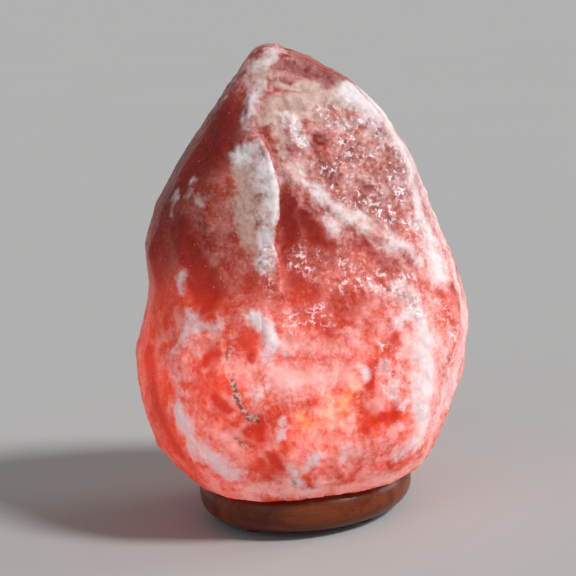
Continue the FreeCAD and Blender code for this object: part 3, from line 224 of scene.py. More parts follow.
MILKY_SALT = (
    (13.0, 0.80, ((-8, -68, 88), (2, -69, 85), (12, -68, 85), (20, -66, 88))),
    (9.0, 0.55, ((-16, -66, 98), (0, -66, 102), (18, -64, 100), (32, -62, 96))),
    (8.0, 0.45, ((-30, -64, 98), (-44, -55, 104), (-54, -50, 106))),
    (8.0, 0.50, ((-46, -59, 66), (-40, -62, 60), (-30, -64, 50))),
    (8.0, 0.40, ((-4, -71, 60), (8, -70, 54), (28, -65, 52), (40, -61, 50))),
    (7.0, 0.25, ((2, -70, 66), (12, -69, 70), (24, -66, 78))),
    (7.0, 0.50, ((-20, -68, 74), (-24, -67, 90), (-30, -64, 98))),
    (7.0, 0.50, ((-2, -68, 50), (12, -68, 48), (30, -65, 46))),
    (16.0, 0.80, ((86, -16, 110), (84, -20, 92), (79, -30, 72), (68, -38, 48))),
    (14.0, 0.90, ((86, 2, 114), (86, -2, 94), (81, -8, 72), (72, -12, 50))),
    (16.0, 0.90, ((62, -51, 108), (66, -50, 88), (63, -52, 68), (58, -52, 46))),
    (7.0, 0.80, ((-47, -50, 34), (-32, -56, 31), (-13, -59, 28), (2, -60, 27), (16, -57, 26))),
    (7.0, 0.80, ((16, -57, 26), (37, -51, 27), (53, -38, 28), (62, -26, 34))),
    (8.0, 0.60, ((-60, -48, 100), (-60, -52, 86), (-58, -55, 70), (-52, -58, 54), (-38, -60, 42))),
    (8.0, 0.55, ((4, -36, 184), (18, -38, 170), (39, -38, 153), (66, -36, 134))),
    (7.0, 0.50, ((23, -42, 156), (36, -44, 146), (50, -44, 134))),
    (6.0, 0.45, ((0, -7, 238), (-4, -14, 230), (-9, -24, 214), (-8, -30, 202))),
    (9.0, 0.75, ((40, -8, 214), (54, -8, 200), (66, -14, 174), (72, -22, 146), (78, -27, 120))),
    (11.0, 0.70, ((50, 2, 210), (62, 0, 192), (70, -6, 170), (76, -12, 146), (81, -14, 122))),
    (8.0, 0.50, ((26, -20, 203), (40, -18, 198), (54, -18, 186))),
    (7.0, 0.35, ((44, -28, 174), (56, -26, 166), (62, -24, 158))),
    (14.0, 0.50, ((-30, 60, 84), (0, 66, 70), (30, 62, 60))),
    (12.0, 0.45, ((20, 46, 170), (40, 44, 150))),
    (12.0, 0.45, ((-60, 30, 100), (-50, 40, 60), (-30, 52, 38))),
    (12.0, 0.45, ((60, 44, 100), (56, 46, 60), (36, 52, 36))),
)
BEIGE_SALT = (
    (3.6, 0.80, ((6, -18, 219), (13, -16, 219), (21, -13, 218), (28, -11, 216))),
    (6.5, 0.95, ((1, -24, 213), (9, -22, 212), (18, -17, 212), (27, -14, 212), (34, -12, 212))),
    (5.0, 0.85, ((-3, -28, 206), (4, -26, 206), (16, -23, 206), (26, -19, 206))),
    (4.6, 0.70, ((3, -30, 201), (4, -32, 195), (4, -34, 189))),
    (4.4, 0.70, ((1, -10, 234), (-4, -16, 228), (-6, -19, 224))),
    (7.0, 0.65, ((-17, -34, 189), (-16, -38, 181), (-16, -42, 172), (-17, -45, 162),
                 (-17, -48, 152))),
    (6.0, 0.45, ((8, -37, 181), (22, -39, 168), (40, -39, 153))),
    (9.0, 0.60, ((-8, 20, 222), (-16, 26, 210))),
    (9.0, 0.60, ((36, 40, 176), (44, 40, 166))),
    (5.0, 0.60, ((10, 22, 218), (14, 34, 200), (8, 44, 184))),
)
CLEAR_RED_SALT = (
    (10.0, 1.00, ((-50, -34, 157), (-46, -40, 144), (-42, -45, 134), (-38, -48, 126))),
    (18.0, 0.65, ((-24, -20, 206), (-42, -22, 184), (-60, -14, 158), (-64, -20, 136))),
    # clear red salt right along the ledge's edge, deeper there also as painted shade beside the
    # ledge
    (7.0, 0.90, ((3, -43, 168), (3, -46, 157), (4, -49, 147), (6, -51, 138))),
    (8.0, 0.60, ((12, -43, 160), (20, -46, 148), (14, -50, 140))),
    (9.0, 0.65, ((6, -56, 130), (8, -60, 120), (14, -62, 112))),
    (8.0, 0.50, ((30, -55, 124), (24, -58, 118))),
    (6.0, 0.70, ((36, -43, 145), (52, -43, 131))),
    (5.0, 0.90, ((22, -25, 194), (22, -29, 186), (28, -32, 174))),
    (4.0, 0.80, ((41, -20, 189), (38, -22, 186))),
    (4.0, 0.80, ((44, -29, 167), (36, -34, 161))),
    (7.0, 0.60, ((9, -12, 232), (17, -11, 229), (24, -10, 226), (32, -8, 223))),
    (2.6, 0.90, ((-4, -22, 220), (0, -23, 218))),
    (5.0, 0.80, ((-41, -60, 98), (-36, -62, 102))),
    (4.0, 0.80, ((-21, -63, 106), (-22, -65, 98))),
    (4.6, 0.80, ((50, -58, 99), (42, -62, 92), (36, -64, 80))),
    (5.0, 0.70, ((52, -60, 78), (46, -62, 64), (32, -66, 60))),
    (4.0, 0.70, ((-25, -69, 62), (-21, -69, 68), (-20, -69, 58))),
    (4.6, 0.90, ((10, -65, 36), (18, -64, 36))),
    (4.4, 0.70, ((-12, -65, 40), (-13, -66, 48))),
    (5.0, 0.60, ((-40, -63, 80), (-34, -66, 74))),
    (7.0, 0.70, ((-72, -28, 98), (-72, -31, 83), (-70, -36, 69), (-67, -38, 59), (-61, -45, 49))),
    (6.0, 0.60, ((80, -26, 116), (82, -22, 104))),
    (14.0, 0.70, ((-20, 56, 140), (-36, 50, 130))),
    (14.0, 0.60, ((20, 56, 110), (44, 50, 118))),
)
STAINS = (
    (2.2, 1.0, ((-31, -62, 103), (-33, -65, 96), (-30, -67, 86), (-28, -68, 76), (-23, -69, 68))),
    (2.4, 0.8, ((-25, -69, 73), (-21, -69, 68))),
    (2.0, 0.6, ((-30, -67, 90), (-28, -68, 82))),
    (1.9, 0.9, ((-32, -66, 59), (-28, -66, 56), (-22, -67, 52))),
    (2.0, 0.5, ((-4, -62, 45), (-5, -60, 34))),
    (1.6, 0.8, ((-30, 62, 100), (-24, 64, 88), (-27, 64, 74))),
)
# Thin places, where the most light comes through.
BRIGHT_SPOTS = (
    (5.0, 0.95, ((2, -70, 68), (4, -70, 65))),
    (6.0, 0.75, ((22, -67, 73), (26, -65, 79))),
    (11.0, 0.40, ((2, -70, 62), (12, -69, 66), (24, -66, 76))),
)
# Broken places, rough and full of small bright faces, with white glints also painted on them as
# flecks.
GLITTER = (
    (9.0, 1.00, ((30, -18, 204), (40, -16, 200), (50, -14, 196))),
    (9.0, 1.00, ((34, -20, 194), (46, -20, 186), (56, -18, 176))),
    (9.0, 1.00, ((22, -31, 178), (32, -27, 179), (44, -25, 176), (58, -22, 166))),
    (9.0, 1.00, ((34, -33, 166), (45, -32, 160), (56, -31, 152), (64, -28, 144))),
    (9.0, 0.70, ((10, -50, 140), (24, -50, 134), (40, -48, 130), (54, -45, 124))),
    (4.6, 1.00, ((7, -25, 204), (13, -27, 196))),
    (5.0, 0.90, ((-9, -50, 146), (-8, -54, 136), (-8, -57, 126))),
    (6.0, 0.80, ((56, -50, 116), (62, -50, 108))),
    (7.0, 0.60, ((44, -61, 96), (48, -61, 80))),
    (7.0, 0.50, ((16, -59, 118), (0, -62, 112))),
    (9.0, 0.50, ((72, -34, 104), (76, -34, 88))),
    (16.0, 0.90, ((10, 52, 160), (34, 48, 150))),
    (16.0, 0.80, ((-40, 46, 90), (-20, 60, 80))),
    (14.0, 0.70, ((70, 30, 110), (72, 30, 80))),
)


def cube_sphere(count):
    """Directions spread all round a point, and the four-sided faces between them."""
    steps = np.tan(np.linspace(-1, 1, count + 1) * math.pi / 4)
    across, along = np.meshgrid(steps, steps, indexing="ij")
    flat = np.stack([across.ravel(), along.ravel(), np.ones(across.size)], axis=1)
    number = np.arange(across.size).reshape(across.shape)
    face = np.stack([number[:-1, :-1], number[1:, :-1], number[1:, 1:], number[:-1, 1:]], axis=-1)
    face = face.reshape(-1, 4)
    points, faces = [], []
    for axis in range(3):
        for sign in (1, -1):
            turned = np.roll(flat, axis, axis=1)
            turned = turned if sign > 0 else -turned
            own = face if sign > 0 else face[:, ::-1]
            faces.append(own + len(points) * len(flat))
            points.append(turned)
    points = np.concatenate(points)
    points /= np.linalg.norm(points, axis=1)[:, None]
    rounded = np.round(points, 5)
    _, first, place = np.unique(rounded, axis=0, return_index=True, return_inverse=True)
    return points[first], place.ravel()[np.concatenate(faces)]


def crystal_surface(directions):
    """Points on the outside of the plain crystal, in millimetres."""
    solid = NODES["salt_crystal"].data
    corners = [vertex.co / MM for vertex in solid.vertices]
    tree = BVHTree.FromPolygons(corners, [tuple(face.vertices) for face in solid.polygons])
    centre = Vector(CRYSTAL_CENTRE)
    aims = directions * np.array(CRYSTAL_REACH)
    aims /= np.linalg.norm(aims, axis=1)[:, None]
    points = np.empty_like(aims)
    for number, aim in enumerate(aims):
        aim = Vector(aim)
        if aim.z < 0:
            seat = centre + aim * ((SEAT_HEIGHT - centre.z) / aim.z)
            if math.hypot(seat.x, seat.y) < SEAT_RADIUS:
                points[number] = seat
                continue
        points[number] = tree.ray_cast(centre + aim * WELL_OUTSIDE, -aim)[0]
    return points


def neighbour_mean(points, faces):
    total = np.zeros_like(points)
    count = np.zeros(len(points))
    for side in range(4):
        here, after = faces[:, side], faces[:, (side + 1) % 4]
        np.add.at(total, here, points[after])
        np.add.at(total, after, points[here])
        np.add.at(count, here, 1)
        np.add.at(count, after, 1)
    return total / count[:, None]


def normals_of(points, faces):
    one = points[faces[:, 2]] - points[faces[:, 0]]
    other = points[faces[:, 3]] - points[faces[:, 1]]
    across = np.cross(one, other)
    total = np.zeros_like(points)
    for side in range(4):
        np.add.at(total, faces[:, side], across)
    return total / np.maximum(np.linalg.norm(total, axis=1), 1e-9)[:, None]


def smoothed(points, faces, rounds):
    on_seat = points[:, 2] < SEAT_HEIGHT + SEAT_SLACK
    for _ in range(rounds):
        moved = 0.5 * points + 0.5 * neighbour_mean(points, faces)
        points = np.where(on_seat[:, None], points, moved)
    return points


def smoothstep(low, high, amount):
    share = np.clip((amount - low) / (high - low), 0, 1)
    return share * share * (3 - 2 * share)


def from_path(points, path):
    """For each point: its distance and way from a path, and the path's direction there."""
    path = np.array(path, float)
    least = np.full(len(points), np.inf)
    offsets = np.zeros_like(points)
    directions = np.zeros_like(points)
    for start, end in zip(path[:-1], path[1:]):
        along = end - start
        share = np.clip((points - start) @ along / (along @ along), 0, 1)
        offset = points - (start + share[:, None] * along)
        distance = np.linalg.norm(offset, axis=1)
        nearer = distance < least
        least[nearer] = distance[nearer]
        offsets[nearer] = offset[nearer]
        directions[nearer] = along / np.linalg.norm(along)
    return least, offsets, directions


def beside(points, normals, path):
    """Distance from a path, and how far to its right, seen from outside and along the path."""
    distance, offset, along = from_path(points, path)
    return distance, np.einsum("ij,ij->i", np.cross(normals, along), offset)


def painted(points, strokes):
    """Strongest stroke at each point: its strength on the path, zero at its edge, then negative."""
    amount = np.full(len(points), -1.0)
    for half_width, strength, path in strokes:
        distance = from_path(points, path)[0]
        amount = np.maximum(amount, strength * (1 - distance / half_width))
    return np.clip(amount, -1, 1)


def noise_at(points, size, detail):
    return np.array([noise.fractal(Vector(point), 0.9, 2.0, detail) for point in points / size])


def wandered(points, size, reach):
    """The points shifted a little, each way by its own slow noise, so that strokes turn ragged."""
    shift = [noise.turbulence_vector(Vector(point), 2, False) for point in points / size]
    return points + reach * np.array(shift)


def nearest_seeds(points, spacing, stretch, seed):
    """For each point: its way from the nearest seed, in spacings, and that seed's number."""
    chance = np.random.default_rng(seed)
    scaled = points / (spacing * np.array(stretch))
    low = np.floor(scaled.min(0)) - 1
    high = np.ceil(scaled.max(0)) + 1
    axes = [np.arange(first, last + 1) for first, last in zip(low, high)]
    seeds = np.stack(np.meshgrid(*axes, indexing="ij"), axis=-1).reshape(-1, 3)
    seeds = seeds + chance.uniform(-0.45, 0.45, seeds.shape)
    tree = KDTree(len(seeds))
    for number, place in enumerate(seeds):
        tree.insert(place, number)
    tree.balance()
    found = np.array([tree.find(point)[1] for point in scaled])
    return scaled - seeds[found], found


def dished(points, spacing, stretch, seed):
    """Shallow dishes that meet in ridges, as where flakes came off: 0 in a dish's middle."""
    offset, _ = nearest_seeds(points, spacing, stretch, seed)
    return np.einsum("ij,ij->i", offset, offset)


def cleaved(points, spacing, stretch, seed):
    """Small flat faces, each tilted and set back by its own chance, with steps between them."""
    offset, found = nearest_seeds(points, spacing, stretch, seed)
    chance = np.random.default_rng(seed + 1)
    tilts = chance.normal(0, 1, (found.max() + 1, 3))
    levels = chance.uniform(-0.5, 0.5, found.max() + 1)
    return np.einsum("ij,ij->i", offset, tilts[found]) + levels[found]


def sculpted(points, faces):
    """Moves the smooth surface in and out along its normals to make broken salt."""
    normals = normals_of(points, faces)
    ragged = wandered(points, *RAGGED_RELIEF)
    move = np.zeros(len(points))
    for height, half_width, path in RIDGES:
        distance = from_path(ragged, path)[0]
        move += height * np.exp(-((distance / half_width) ** 2))
    distance, right = beside(points, normals, LEDGE_EDGE)
    move -= LEDGE_STEP * smoothstep(-0.2, 1.2, right) * np.exp(-distance / LEDGE_STEP_REACH)
    rough = smoothstep(-0.3, 0.6, painted(ragged, GLITTER))
    bulge = smoothstep(BULGE_TOP, BULGE_FULL, points[:, 2])
    leaning = points[:, 0] + 0.2 * (points[:, 2] - 150)
    left_plane = smoothstep(-20, -36, leaning) * (1 - bulge)
    plain = 1 - 0.65 * left_plane
    dish_height = plain * (0.5 + 0.9 * bulge)
    face_height = plain * (0.22 + 0.34 * rough + 0.10 * bulge)
    chip_height = plain * (0.10 + 0.20 * rough)
    move += WIDE_DISH_HEIGHT * (dished(points, *WIDE_DISHES) - DISH_MIDDLE)
    move += dish_height * (dished(points, *DISHES) - DISH_MIDDLE)
    move += face_height * cleaved(wandered(points, *RAGGED_FACES), *FLAT_FACES)
    move += chip_height * cleaved(points, *CHIPS)
    move += 0.55 * plain * noise_at(points, *SWELLS) + 0.10 * noise_at(points, *ROUGHNESS)
    move += WHITE_SALT_HEIGHT * smoothstep(-0.2, 0.5, painted(ragged, WHITE_SALT))
    off_seat = smoothstep(SEAT_HEIGHT + 0.3, SEAT_HEIGHT + SEAT_EASE, points[:, 2])
    return points + normals * (move * off_seat)[:, None]


def glow_of(points):
    """How much of the bulb's light comes through the salt at each point."""
    from_axis = np.hypot(points[:, 0], points[:, 1])
    height = smoothstep(GLOW_TOP, GLOW_FULL, points[:, 2]) ** GLOW_FADE
    foot = 0.6 + 0.4 * smoothstep(FOOT_BOTTOM, FOOT_TOP, points[:, 2])
    thickness = np.exp(-(from_axis - GLOW_RADIUS) / GLOW_DEPTH) * foot
    inside = (from_axis < CAVITY_RADIUS + 1) & (points[:, 2] < CAVITY_TIP[1] + 1)
    return np.where(inside, CAVITY_GLOW, np.clip(height * thickness, 0, STRONGEST_GLOW))


def linked(name, data):
    made = bpy.data.objects.new(name, data)
    bpy.context.scene.collection.objects.link(made)
    return made


def mesh_object(name, points, faces):
    mesh = bpy.data.meshes.new(name)
    mesh.from_pydata([tuple(point) for point in points], [], [tuple(face) for face in faces])
    mesh.update()
    return linked(name, mesh)


def round_tool(mesh, radii_and_heights, centre, segments):
    """Adds a closed turned shape, through its radii and heights, to a bmesh."""
    rings = []
    for radius, height in radii_and_heights:
        ring = []
        for number in range(segments):
            angle = 2 * math.pi * number / segments
            x = centre[0] + radius * math.cos(angle)
            y = centre[1] + radius * math.sin(angle)
            ring.append(mesh.verts.new((x * MM, y * MM, height * MM)))
        rings.append(ring)
    for low, high in zip(rings, rings[1:]):
        for number in range(segments):
            after = (number + 1) % segments
            mesh.faces.new((low[number], low[after], high[after], high[number]))
    mesh.faces.new(rings[0][::-1])
    mesh.faces.new(rings[-1])


def cavity_tool():
    """The drills for the cavity and the four plug holes, as one mesh."""
    shape = bmesh.new()
    profile = [(CAVITY_RADIUS, DRILL_START)]
    for height in np.linspace(SEAT_HEIGHT, CAVITY_TOP, CAVITY_RINGS):
        profile.append((CAVITY_RADIUS, height))
    round_tool(shape, profile + [CAVITY_TIP], (0, 0), CAVITY_SEGMENTS)
    for angle in PLUG_ANGLES:
        turn = math.radians(angle)
        centre = (PLUG_CIRCLE * math.cos(turn), PLUG_CIRCLE * math.sin(turn))
        sides = [(PLUG_HOLE_RADIUS, DRILL_START), (PLUG_HOLE_RADIUS, PLUG_HOLE_TOP)]
        round_tool(shape, sides, centre, PLUG_HOLE_SEGMENTS)
    mesh = bpy.data.meshes.new("cavity_tool")
    shape.to_mesh(mesh)
    shape.free()
    return linked("cavity_tool", mesh)


def bored(crystal):
    """Drills the cavity and the plug holes."""
    tool = cavity_tool()
    boring = crystal.modifiers.new("boring", "BOOLEAN")
    boring.object = tool
    boring.operation = "DIFFERENCE"
    boring.solver = "EXACT"
    depsgraph = bpy.context.evaluated_depsgraph_get()
    mesh = bpy.data.meshes.new_from_object(crystal.evaluated_get(depsgraph))
    crystal.modifiers.remove(boring)
    crystal.data = mesh
    bpy.data.objects.remove(tool)


def vertex_vectors(mesh, kind):
    """The vertices' places ("co") or directions ("normal"), one row each."""
    flat = np.empty(len(mesh.vertices) * 3)
    mesh.vertices.foreach_get(kind, flat)
    return flat.reshape(-1, 3)


def set_attribute(mesh, name, amounts):
    layer = mesh.attributes.new(name, "FLOAT", "POINT")
    layer.data.foreach_set("value", np.asarray(amounts, np.float32))


def white_paint(points, ragged, normals):
    """White salt, which ends sharply at the edge of the front ledge."""
    amount = painted(ragged, WHITE_SALT)
    distance, right = beside(points, normals, LEDGE_EDGE)
    past_edge = (distance < LEDGE_PAINT_REACH) & (right > LEDGE_PAINT_OVERLAP)
    return np.where(past_edge, np.minimum(amount, LEDGE_PAINT_OVERLAP - right), amount)


def paint_crystal(mesh):
    points = vertex_vectors(mesh, "co") / MM
    normals = vertex_vectors(mesh, "normal")
    ragged = points
    for size, reach in RAGGED_PAINT:
        ragged = wandered(ragged, size, reach)
    slightly_ragged = wandered(points, *RAGGED_STAINS)
    amounts = {
        "white_salt": white_paint(points, ragged, normals),
        "milky_salt": painted(ragged, MILKY_SALT),
        "beige_salt": painted(ragged, BEIGE_SALT),
        "clear_salt": painted(ragged, CLEAR_RED_SALT),
        "stain": painted(slightly_ragged, STAINS),
        "bright_spot": painted(ragged, BRIGHT_SPOTS),
        "glitter": painted(ragged, GLITTER),
        "glow": glow_of(points),
    }
    for name, amount in amounts.items():
        set_attribute(mesh, name, amount)


def make_crystal():
    directions, faces = cube_sphere(GRID)
    points = smoothed(crystal_surface(directions), faces, SMOOTHING_ROUNDS)
    crystal = mesh_object("crystal_skin", sculpted(points, faces) * MM, faces)
    bored(crystal)
    paint_crystal(crystal.data)
    crystal.data.polygons.foreach_set("use_smooth", np.ones(len(crystal.data.polygons), bool))
    crystal.data.materials.clear()
    crystal.data.materials.append(salt_material())
    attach(crystal, "crystal_and_base")
    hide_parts("salt_crystal")


# ---- materials, in metres ----

FLOAT_SOCKET = "NodeSocketFloat"
VECTOR_SOCKET = "NodeSocketVector"


class Sheet:
    """A node tree with short calls for the nodes that the materials share."""

    def __init__(self, tree):
        self.tree = tree

    def add(self, kind, **settings):
        node = self.tree.nodes.new(kind)
        for name, setting in settings.items():
            setattr(node, name, setting)
        return node

    def put(self, socket, source):
        """Links a socket to a node's output, or sets a plain value on it."""
        if isinstance(source, bpy.types.NodeSocket):
            self.tree.links.new(source, socket)
        elif source is not None:
            socket.default_value = source

    def fill(self, node, sources):
        """Puts an output or a plain value on each named input of a node."""
        for name, source in sources.items():
            self.put(node.inputs[name], source)

    def math(self, operation, *sources):
        node = self.add("ShaderNodeMath", operation=operation)
        for socket, source in zip(node.inputs, sources):
            self.put(socket, source)
        return node.outputs[0]

    def times(self, one, other):
        return self.math("MULTIPLY", one, other)

    def vector(self, operation, one, other=None):
        node = self.add("ShaderNodeVectorMath", operation=operation)
        self.put(node.inputs[0], one)
        self.put(node.inputs["Scale" if operation == "SCALE" else 1], other)
        return node.outputs[0]

    def blend(self, share, one, other):
        node = self.add("ShaderNodeMix", data_type="RGBA")
        self.put(node.inputs[0], share)
        self.put(node.inputs[6], one)
        self.put(node.inputs[7], other)
        return node.outputs[2]

    def between(self, source, low, high, new_low=0.0, new_high=1.0):
        node = self.add("ShaderNodeMapRange", interpolation_type="SMOOTHSTEP")
        for socket, value in zip(node.inputs, (source, low, high, new_low, new_high)):
            self.put(socket, value)
        return node.outputs[0]

    def noise(self, where, scale, detail, roughness, distortion=0.0):
        node = self.add("ShaderNodeTexNoise")
        self.fill(node, {"Vector": where, "Scale": scale, "Detail": detail})
        self.fill(node, {"Roughness": roughness, "Distortion": distortion})
        return node.outputs[0]

    def cells(self, where, scale, output="Distance"):
        node = self.add("ShaderNodeTexVoronoi")
        self.fill(node, {"Vector": where, "Scale": scale})
        return node.outputs[output]

    def place(self, stretch=(1, 1, 1)):
        node = self.add("ShaderNodeMapping")
        own_place = self.add("ShaderNodeTexCoord").outputs["Object"]
        self.fill(node, {"Vector": own_place, "Scale": stretch})
        return node.outputs[0]

    def attribute(self, name):
        return self.add("ShaderNodeAttribute", attribute_name=name).outputs["Fac"]

    def bump(self, height, strength, distance, under=None):
        node = self.add("ShaderNodeBump")
        self.fill(node, {"Height": height, "Strength": strength, "Distance": distance})
        self.put(node.inputs["Normal"], under)
        return node.outputs[0]


def new_material(name):
    material = bpy.data.materials.new(name)
    material.use_nodes = True
    sheet = Sheet(material.node_tree)
    shader = next(node for node in material.node_tree.nodes if node.type == "BSDF_PRINCIPLED")
    return material, sheet, shader


def new_group(name, inputs, outputs):
    """A node group with named sockets: the group, its sheet, what it is given, what it gives."""
    group = bpy.data.node_groups.new(name, "ShaderNodeTree")
    for in_out, sockets in (("INPUT", inputs), ("OUTPUT", outputs)):
        for socket, kind in sockets.items():
            group.interface.new_socket(socket, in_out=in_out, socket_type=kind)
    sheet = Sheet(group)
    given = sheet.add("NodeGroupInput").outputs
    gives = sheet.add("NodeGroupOutput").inputs
    return group, sheet, given, gives


def light_share(part):
    """The share of light that one part of a colour, 0 to 255, stands for."""
    return ((part / 255 + 0.055) / 1.055) ** 2.4 if part > 10 else part / 3295


def tinted(red, green, blue):
    """A colour from its 0 to 255 values, as a shader wants it."""
    return (light_share(red), light_share(green), light_share(blue), 1.0)


# The salt's own colours, those of the crust in its stains, and two of painted light: glow and
# glints.
CLEAR_RED = tinted(128, 16, 5)
DEEP_RED = tinted(130, 38, 20)
BRICK_RED = tinted(180, 66, 46)
# painted light: the warmer red where the bulb's light comes through the salt
GLOW_WARMED_RED = tinted(202, 82, 58)
ROSE = tinted(202, 108, 88)
GLITTERING_ROSE = tinted(214, 146, 138)
MILKY_PINK = tinted(236, 190, 190)
FROST_PINK = tinted(240, 198, 194)
BEIGE = tinted(204, 172, 160)
DULL_WHITE = tinted(220, 204, 205)
CLEAN_WHITE = tinted(240, 234, 235)
# painted highlight: the white of glints off tiny crystal faces
GLINT_WHITE = tinted(246, 232, 236)
RUST_CRUST = tinted(120, 62, 44)
SAND_CRUST = tinted(226, 196, 180)

# The colours of the bulb's light after its way through each kind of salt.
LIT_RED = tinted(255, 58, 24)
LIT_MILK = tinted(255, 144, 130)
LIT_WHITE = tinted(255, 184, 188)
LIT_THIN = tinted(255, 160, 84)
GLOW_STRENGTH = 0.62


def glint_group():
    """Turns the normal by a different amount in each small cell, as tiny crystal faces do."""
    inputs = {"Scale": FLOAT_SOCKET, "Amount": FLOAT_SOCKET, "Normal": VECTOR_SOCKET}
    group, sheet, given, gives = new_group("glints", inputs, {"Normal": VECTOR_SOCKET})
    chance = sheet.cells(sheet.place(), given["Scale"], output="Color")
    turn = sheet.vector("SUBTRACT", chance, (0.5, 0.5, 0.5))
    turn = sheet.vector("SCALE", turn, given["Amount"])
    turned = sheet.vector("ADD", given["Normal"], turn)
    sheet.put(gives["Normal"], sheet.vector("NORMALIZE", turned))
    return group


class SaltMasks:
    """Noise and masks over the crystal: how clear, milky, beige, white or stained it is."""

    def __init__(self, sheet):
        self.sheet = sheet
        self.where = sheet.place()
        self.broad = sheet.noise(self.where, 30, 5, 0.6)
        self.middle = sheet.noise(self.where, 105, 6, 0.62)
        self.fine = sheet.noise(self.where, 430, 5, 0.68)
        ragged = sheet.math("MULTIPLY_ADD", self.fine, 0.35, sheet.times(self.middle, 0.65))
        self.ragged = sheet.math("SUBTRACT", ragged, 0.5)
        self.patchy = sheet.math("SUBTRACT", self.broad, 0.5)
        self.clear = self.patch("clear_salt", 1.6, -0.15, 0.55)
        self.milk = self.milk_and_clouds()
        self.beige = self.patch("beige_salt", 1.4, -0.1, 0.5)
        self.white = self.patch("white_salt", 2.0, -0.18, 0.78, 1.6)
        self.stain = self.patch("stain", 1.2, -0.05, 0.3)
        self.bright = self.patch("bright_spot", 1.2, 0.0, 0.8)
        self.glitter = sheet.between(sheet.attribute("glitter"), -0.3, 0.5)
        self.glow = sheet.attribute("glow")

    def patch(self, name, spread, low, high, breaks=0.0):
        """A painted patch with a ragged, feathered edge and thinner places."""
        sheet = self.sheet
        amount = sheet.math("MULTIPLY_ADD", self.ragged, spread, sheet.attribute(name))
        return sheet.between(sheet.math("MULTIPLY_ADD", self.patchy, breaks, amount), low, high)

    def milk_and_clouds(self):
        """Milky patches and the thin clouds near them, both kept off the clear salt."""
        sheet = self.sheet
        clouds = sheet.between(sheet.noise(self.where, 105, 7, 0.58, 0.1), 0.40, 0.66)
        near_milk = sheet.between(sheet.attribute("milky_salt"), -1.0, 0.2, 0.24, 0.85)
        patches = self.patch("milky_salt", 2.2, -0.25, 0.9)
        milk = sheet.math("MAXIMUM", patches, sheet.times(clouds, near_milk))
        return sheet.times(milk, sheet.between(self.clear, 0, 1, 1.0, 0.06))

    def frost(self):
        """A fine mottling of crushed salt, most of it on the milk."""
        sheet = self.sheet
        mottling = sheet.between(self.fine, 0.5, 0.59)
        frost = sheet.times(mottling, sheet.between(self.milk, 0, 1, 0.13, 0.34))
        return sheet.times(frost, sheet.between(self.clear, 0, 1, 1.0, 0.12))

    def painted_glints(self):
        """Painted highlights: white glints in clusters where it glitters, and a faint sprinkle
        everywhere.
        """
        sheet = self.sheet
        clusters = sheet.between(sheet.noise(self.where, 110, 3, 0.6), 0.44, 0.54)
        painted_glints = sheet.between(sheet.noise(self.where, 330, 4, 0.62, 0.8), 0.53, 0.59)
        painted_glints = sheet.times(sheet.times(painted_glints, clusters), self.glitter)
        sprinkled_glints = sheet.between(sheet.cells(self.where, 260), 0.10, 0.05)
        return sheet.math("MAXIMUM", painted_glints, sheet.times(sprinkled_glints, 0.4))


def salt_colour(sheet, salt):
    """The salt's colour, laid from the red ground up to the painted glints and the crust of its
    stains.
    """
    colour = sheet.blend(sheet.between(salt.broad, 0.34, 0.68), DEEP_RED, BRICK_RED)
    colour = sheet.blend(sheet.between(salt.middle, 0.46, 0.72, 0.0, 0.40), colour, ROSE)
    frosted = sheet.blend(salt.fine, DULL_WHITE, CLEAN_WHITE)
    crust = sheet.blend(sheet.between(salt.fine, 0.44, 0.54), RUST_CRUST, SAND_CRUST)
    layers = (
        # painted light: warmer red where the bulb's light comes through, besides the glow it gives
        # off
        (sheet.times(salt.glow, 0.45), GLOW_WARMED_RED),
        (salt.clear, CLEAR_RED),
        (sheet.times(salt.milk, 0.8), MILKY_PINK),
        (salt.frost(), FROST_PINK),
        (sheet.times(salt.beige, 0.85), BEIGE),
        (salt.white, frosted),
        (sheet.times(salt.glitter, 0.35), GLITTERING_ROSE),
        # painted highlights: white glints
        (salt.painted_glints(), GLINT_WHITE),
        (sheet.times(salt.stain, 0.9), crust),
    )
    for share, layer in layers:
        colour = sheet.blend(share, colour, layer)
    return colour


def salt_glow(sheet, salt):
    """The bulb's light as it leaves the salt: less through white salt and stains."""
    lit = sheet.blend(salt.milk, LIT_RED, LIT_MILK)
    lit = sheet.blend(salt.white, lit, LIT_WHITE)
    lit = sheet.blend(salt.bright, lit, LIT_THIN)
    amount = sheet.times(salt.glow, sheet.between(salt.broad, 0.3, 0.7, 0.7, 1.1))
    amount = sheet.times(amount, sheet.math("MULTIPLY_ADD", salt.white, -0.55, 1.0))
    amount = sheet.times(amount, sheet.math("MULTIPLY_ADD", salt.stain, -0.8, 1.0))
    amount = sheet.math("MULTIPLY_ADD", sheet.times(salt.bright, amount), 0.7, amount)
    return sheet.vector("SCALE", lit, amount)


def salt_roughness(sheet, salt):
    rough = sheet.between(salt.fine, 0.35, 0.7, 0.24, 0.44)
    rough = sheet.math("MULTIPLY_ADD", salt.glitter, -0.10, rough)
    return sheet.math("MULTIPLY_ADD", salt.white, 0.12, rough)


def salt_normal(sheet, salt):
    """Small chips, a fine roughness over them, and the glints of tiny faces."""
    chips = sheet.between(salt.glitter, 0, 1, 0.22, 0.5)
    normal = sheet.bump(sheet.cells(salt.where, 230), chips, 0.0012)
    grain = sheet.between(salt.glitter, 0, 1, 0.4, 0.5)
    normal = sheet.bump(sheet.noise(salt.where, 620, 6, 0.7), grain, 0.0006, normal)
    glints = sheet.add("ShaderNodeGroup", node_tree=glint_group())
    amount = sheet.between(salt.glitter, 0, 1, 0.20, 0.85)
    sheet.fill(glints, {"Scale": 560.0, "Amount": amount, "Normal": normal})
    return glints.outputs["Normal"]


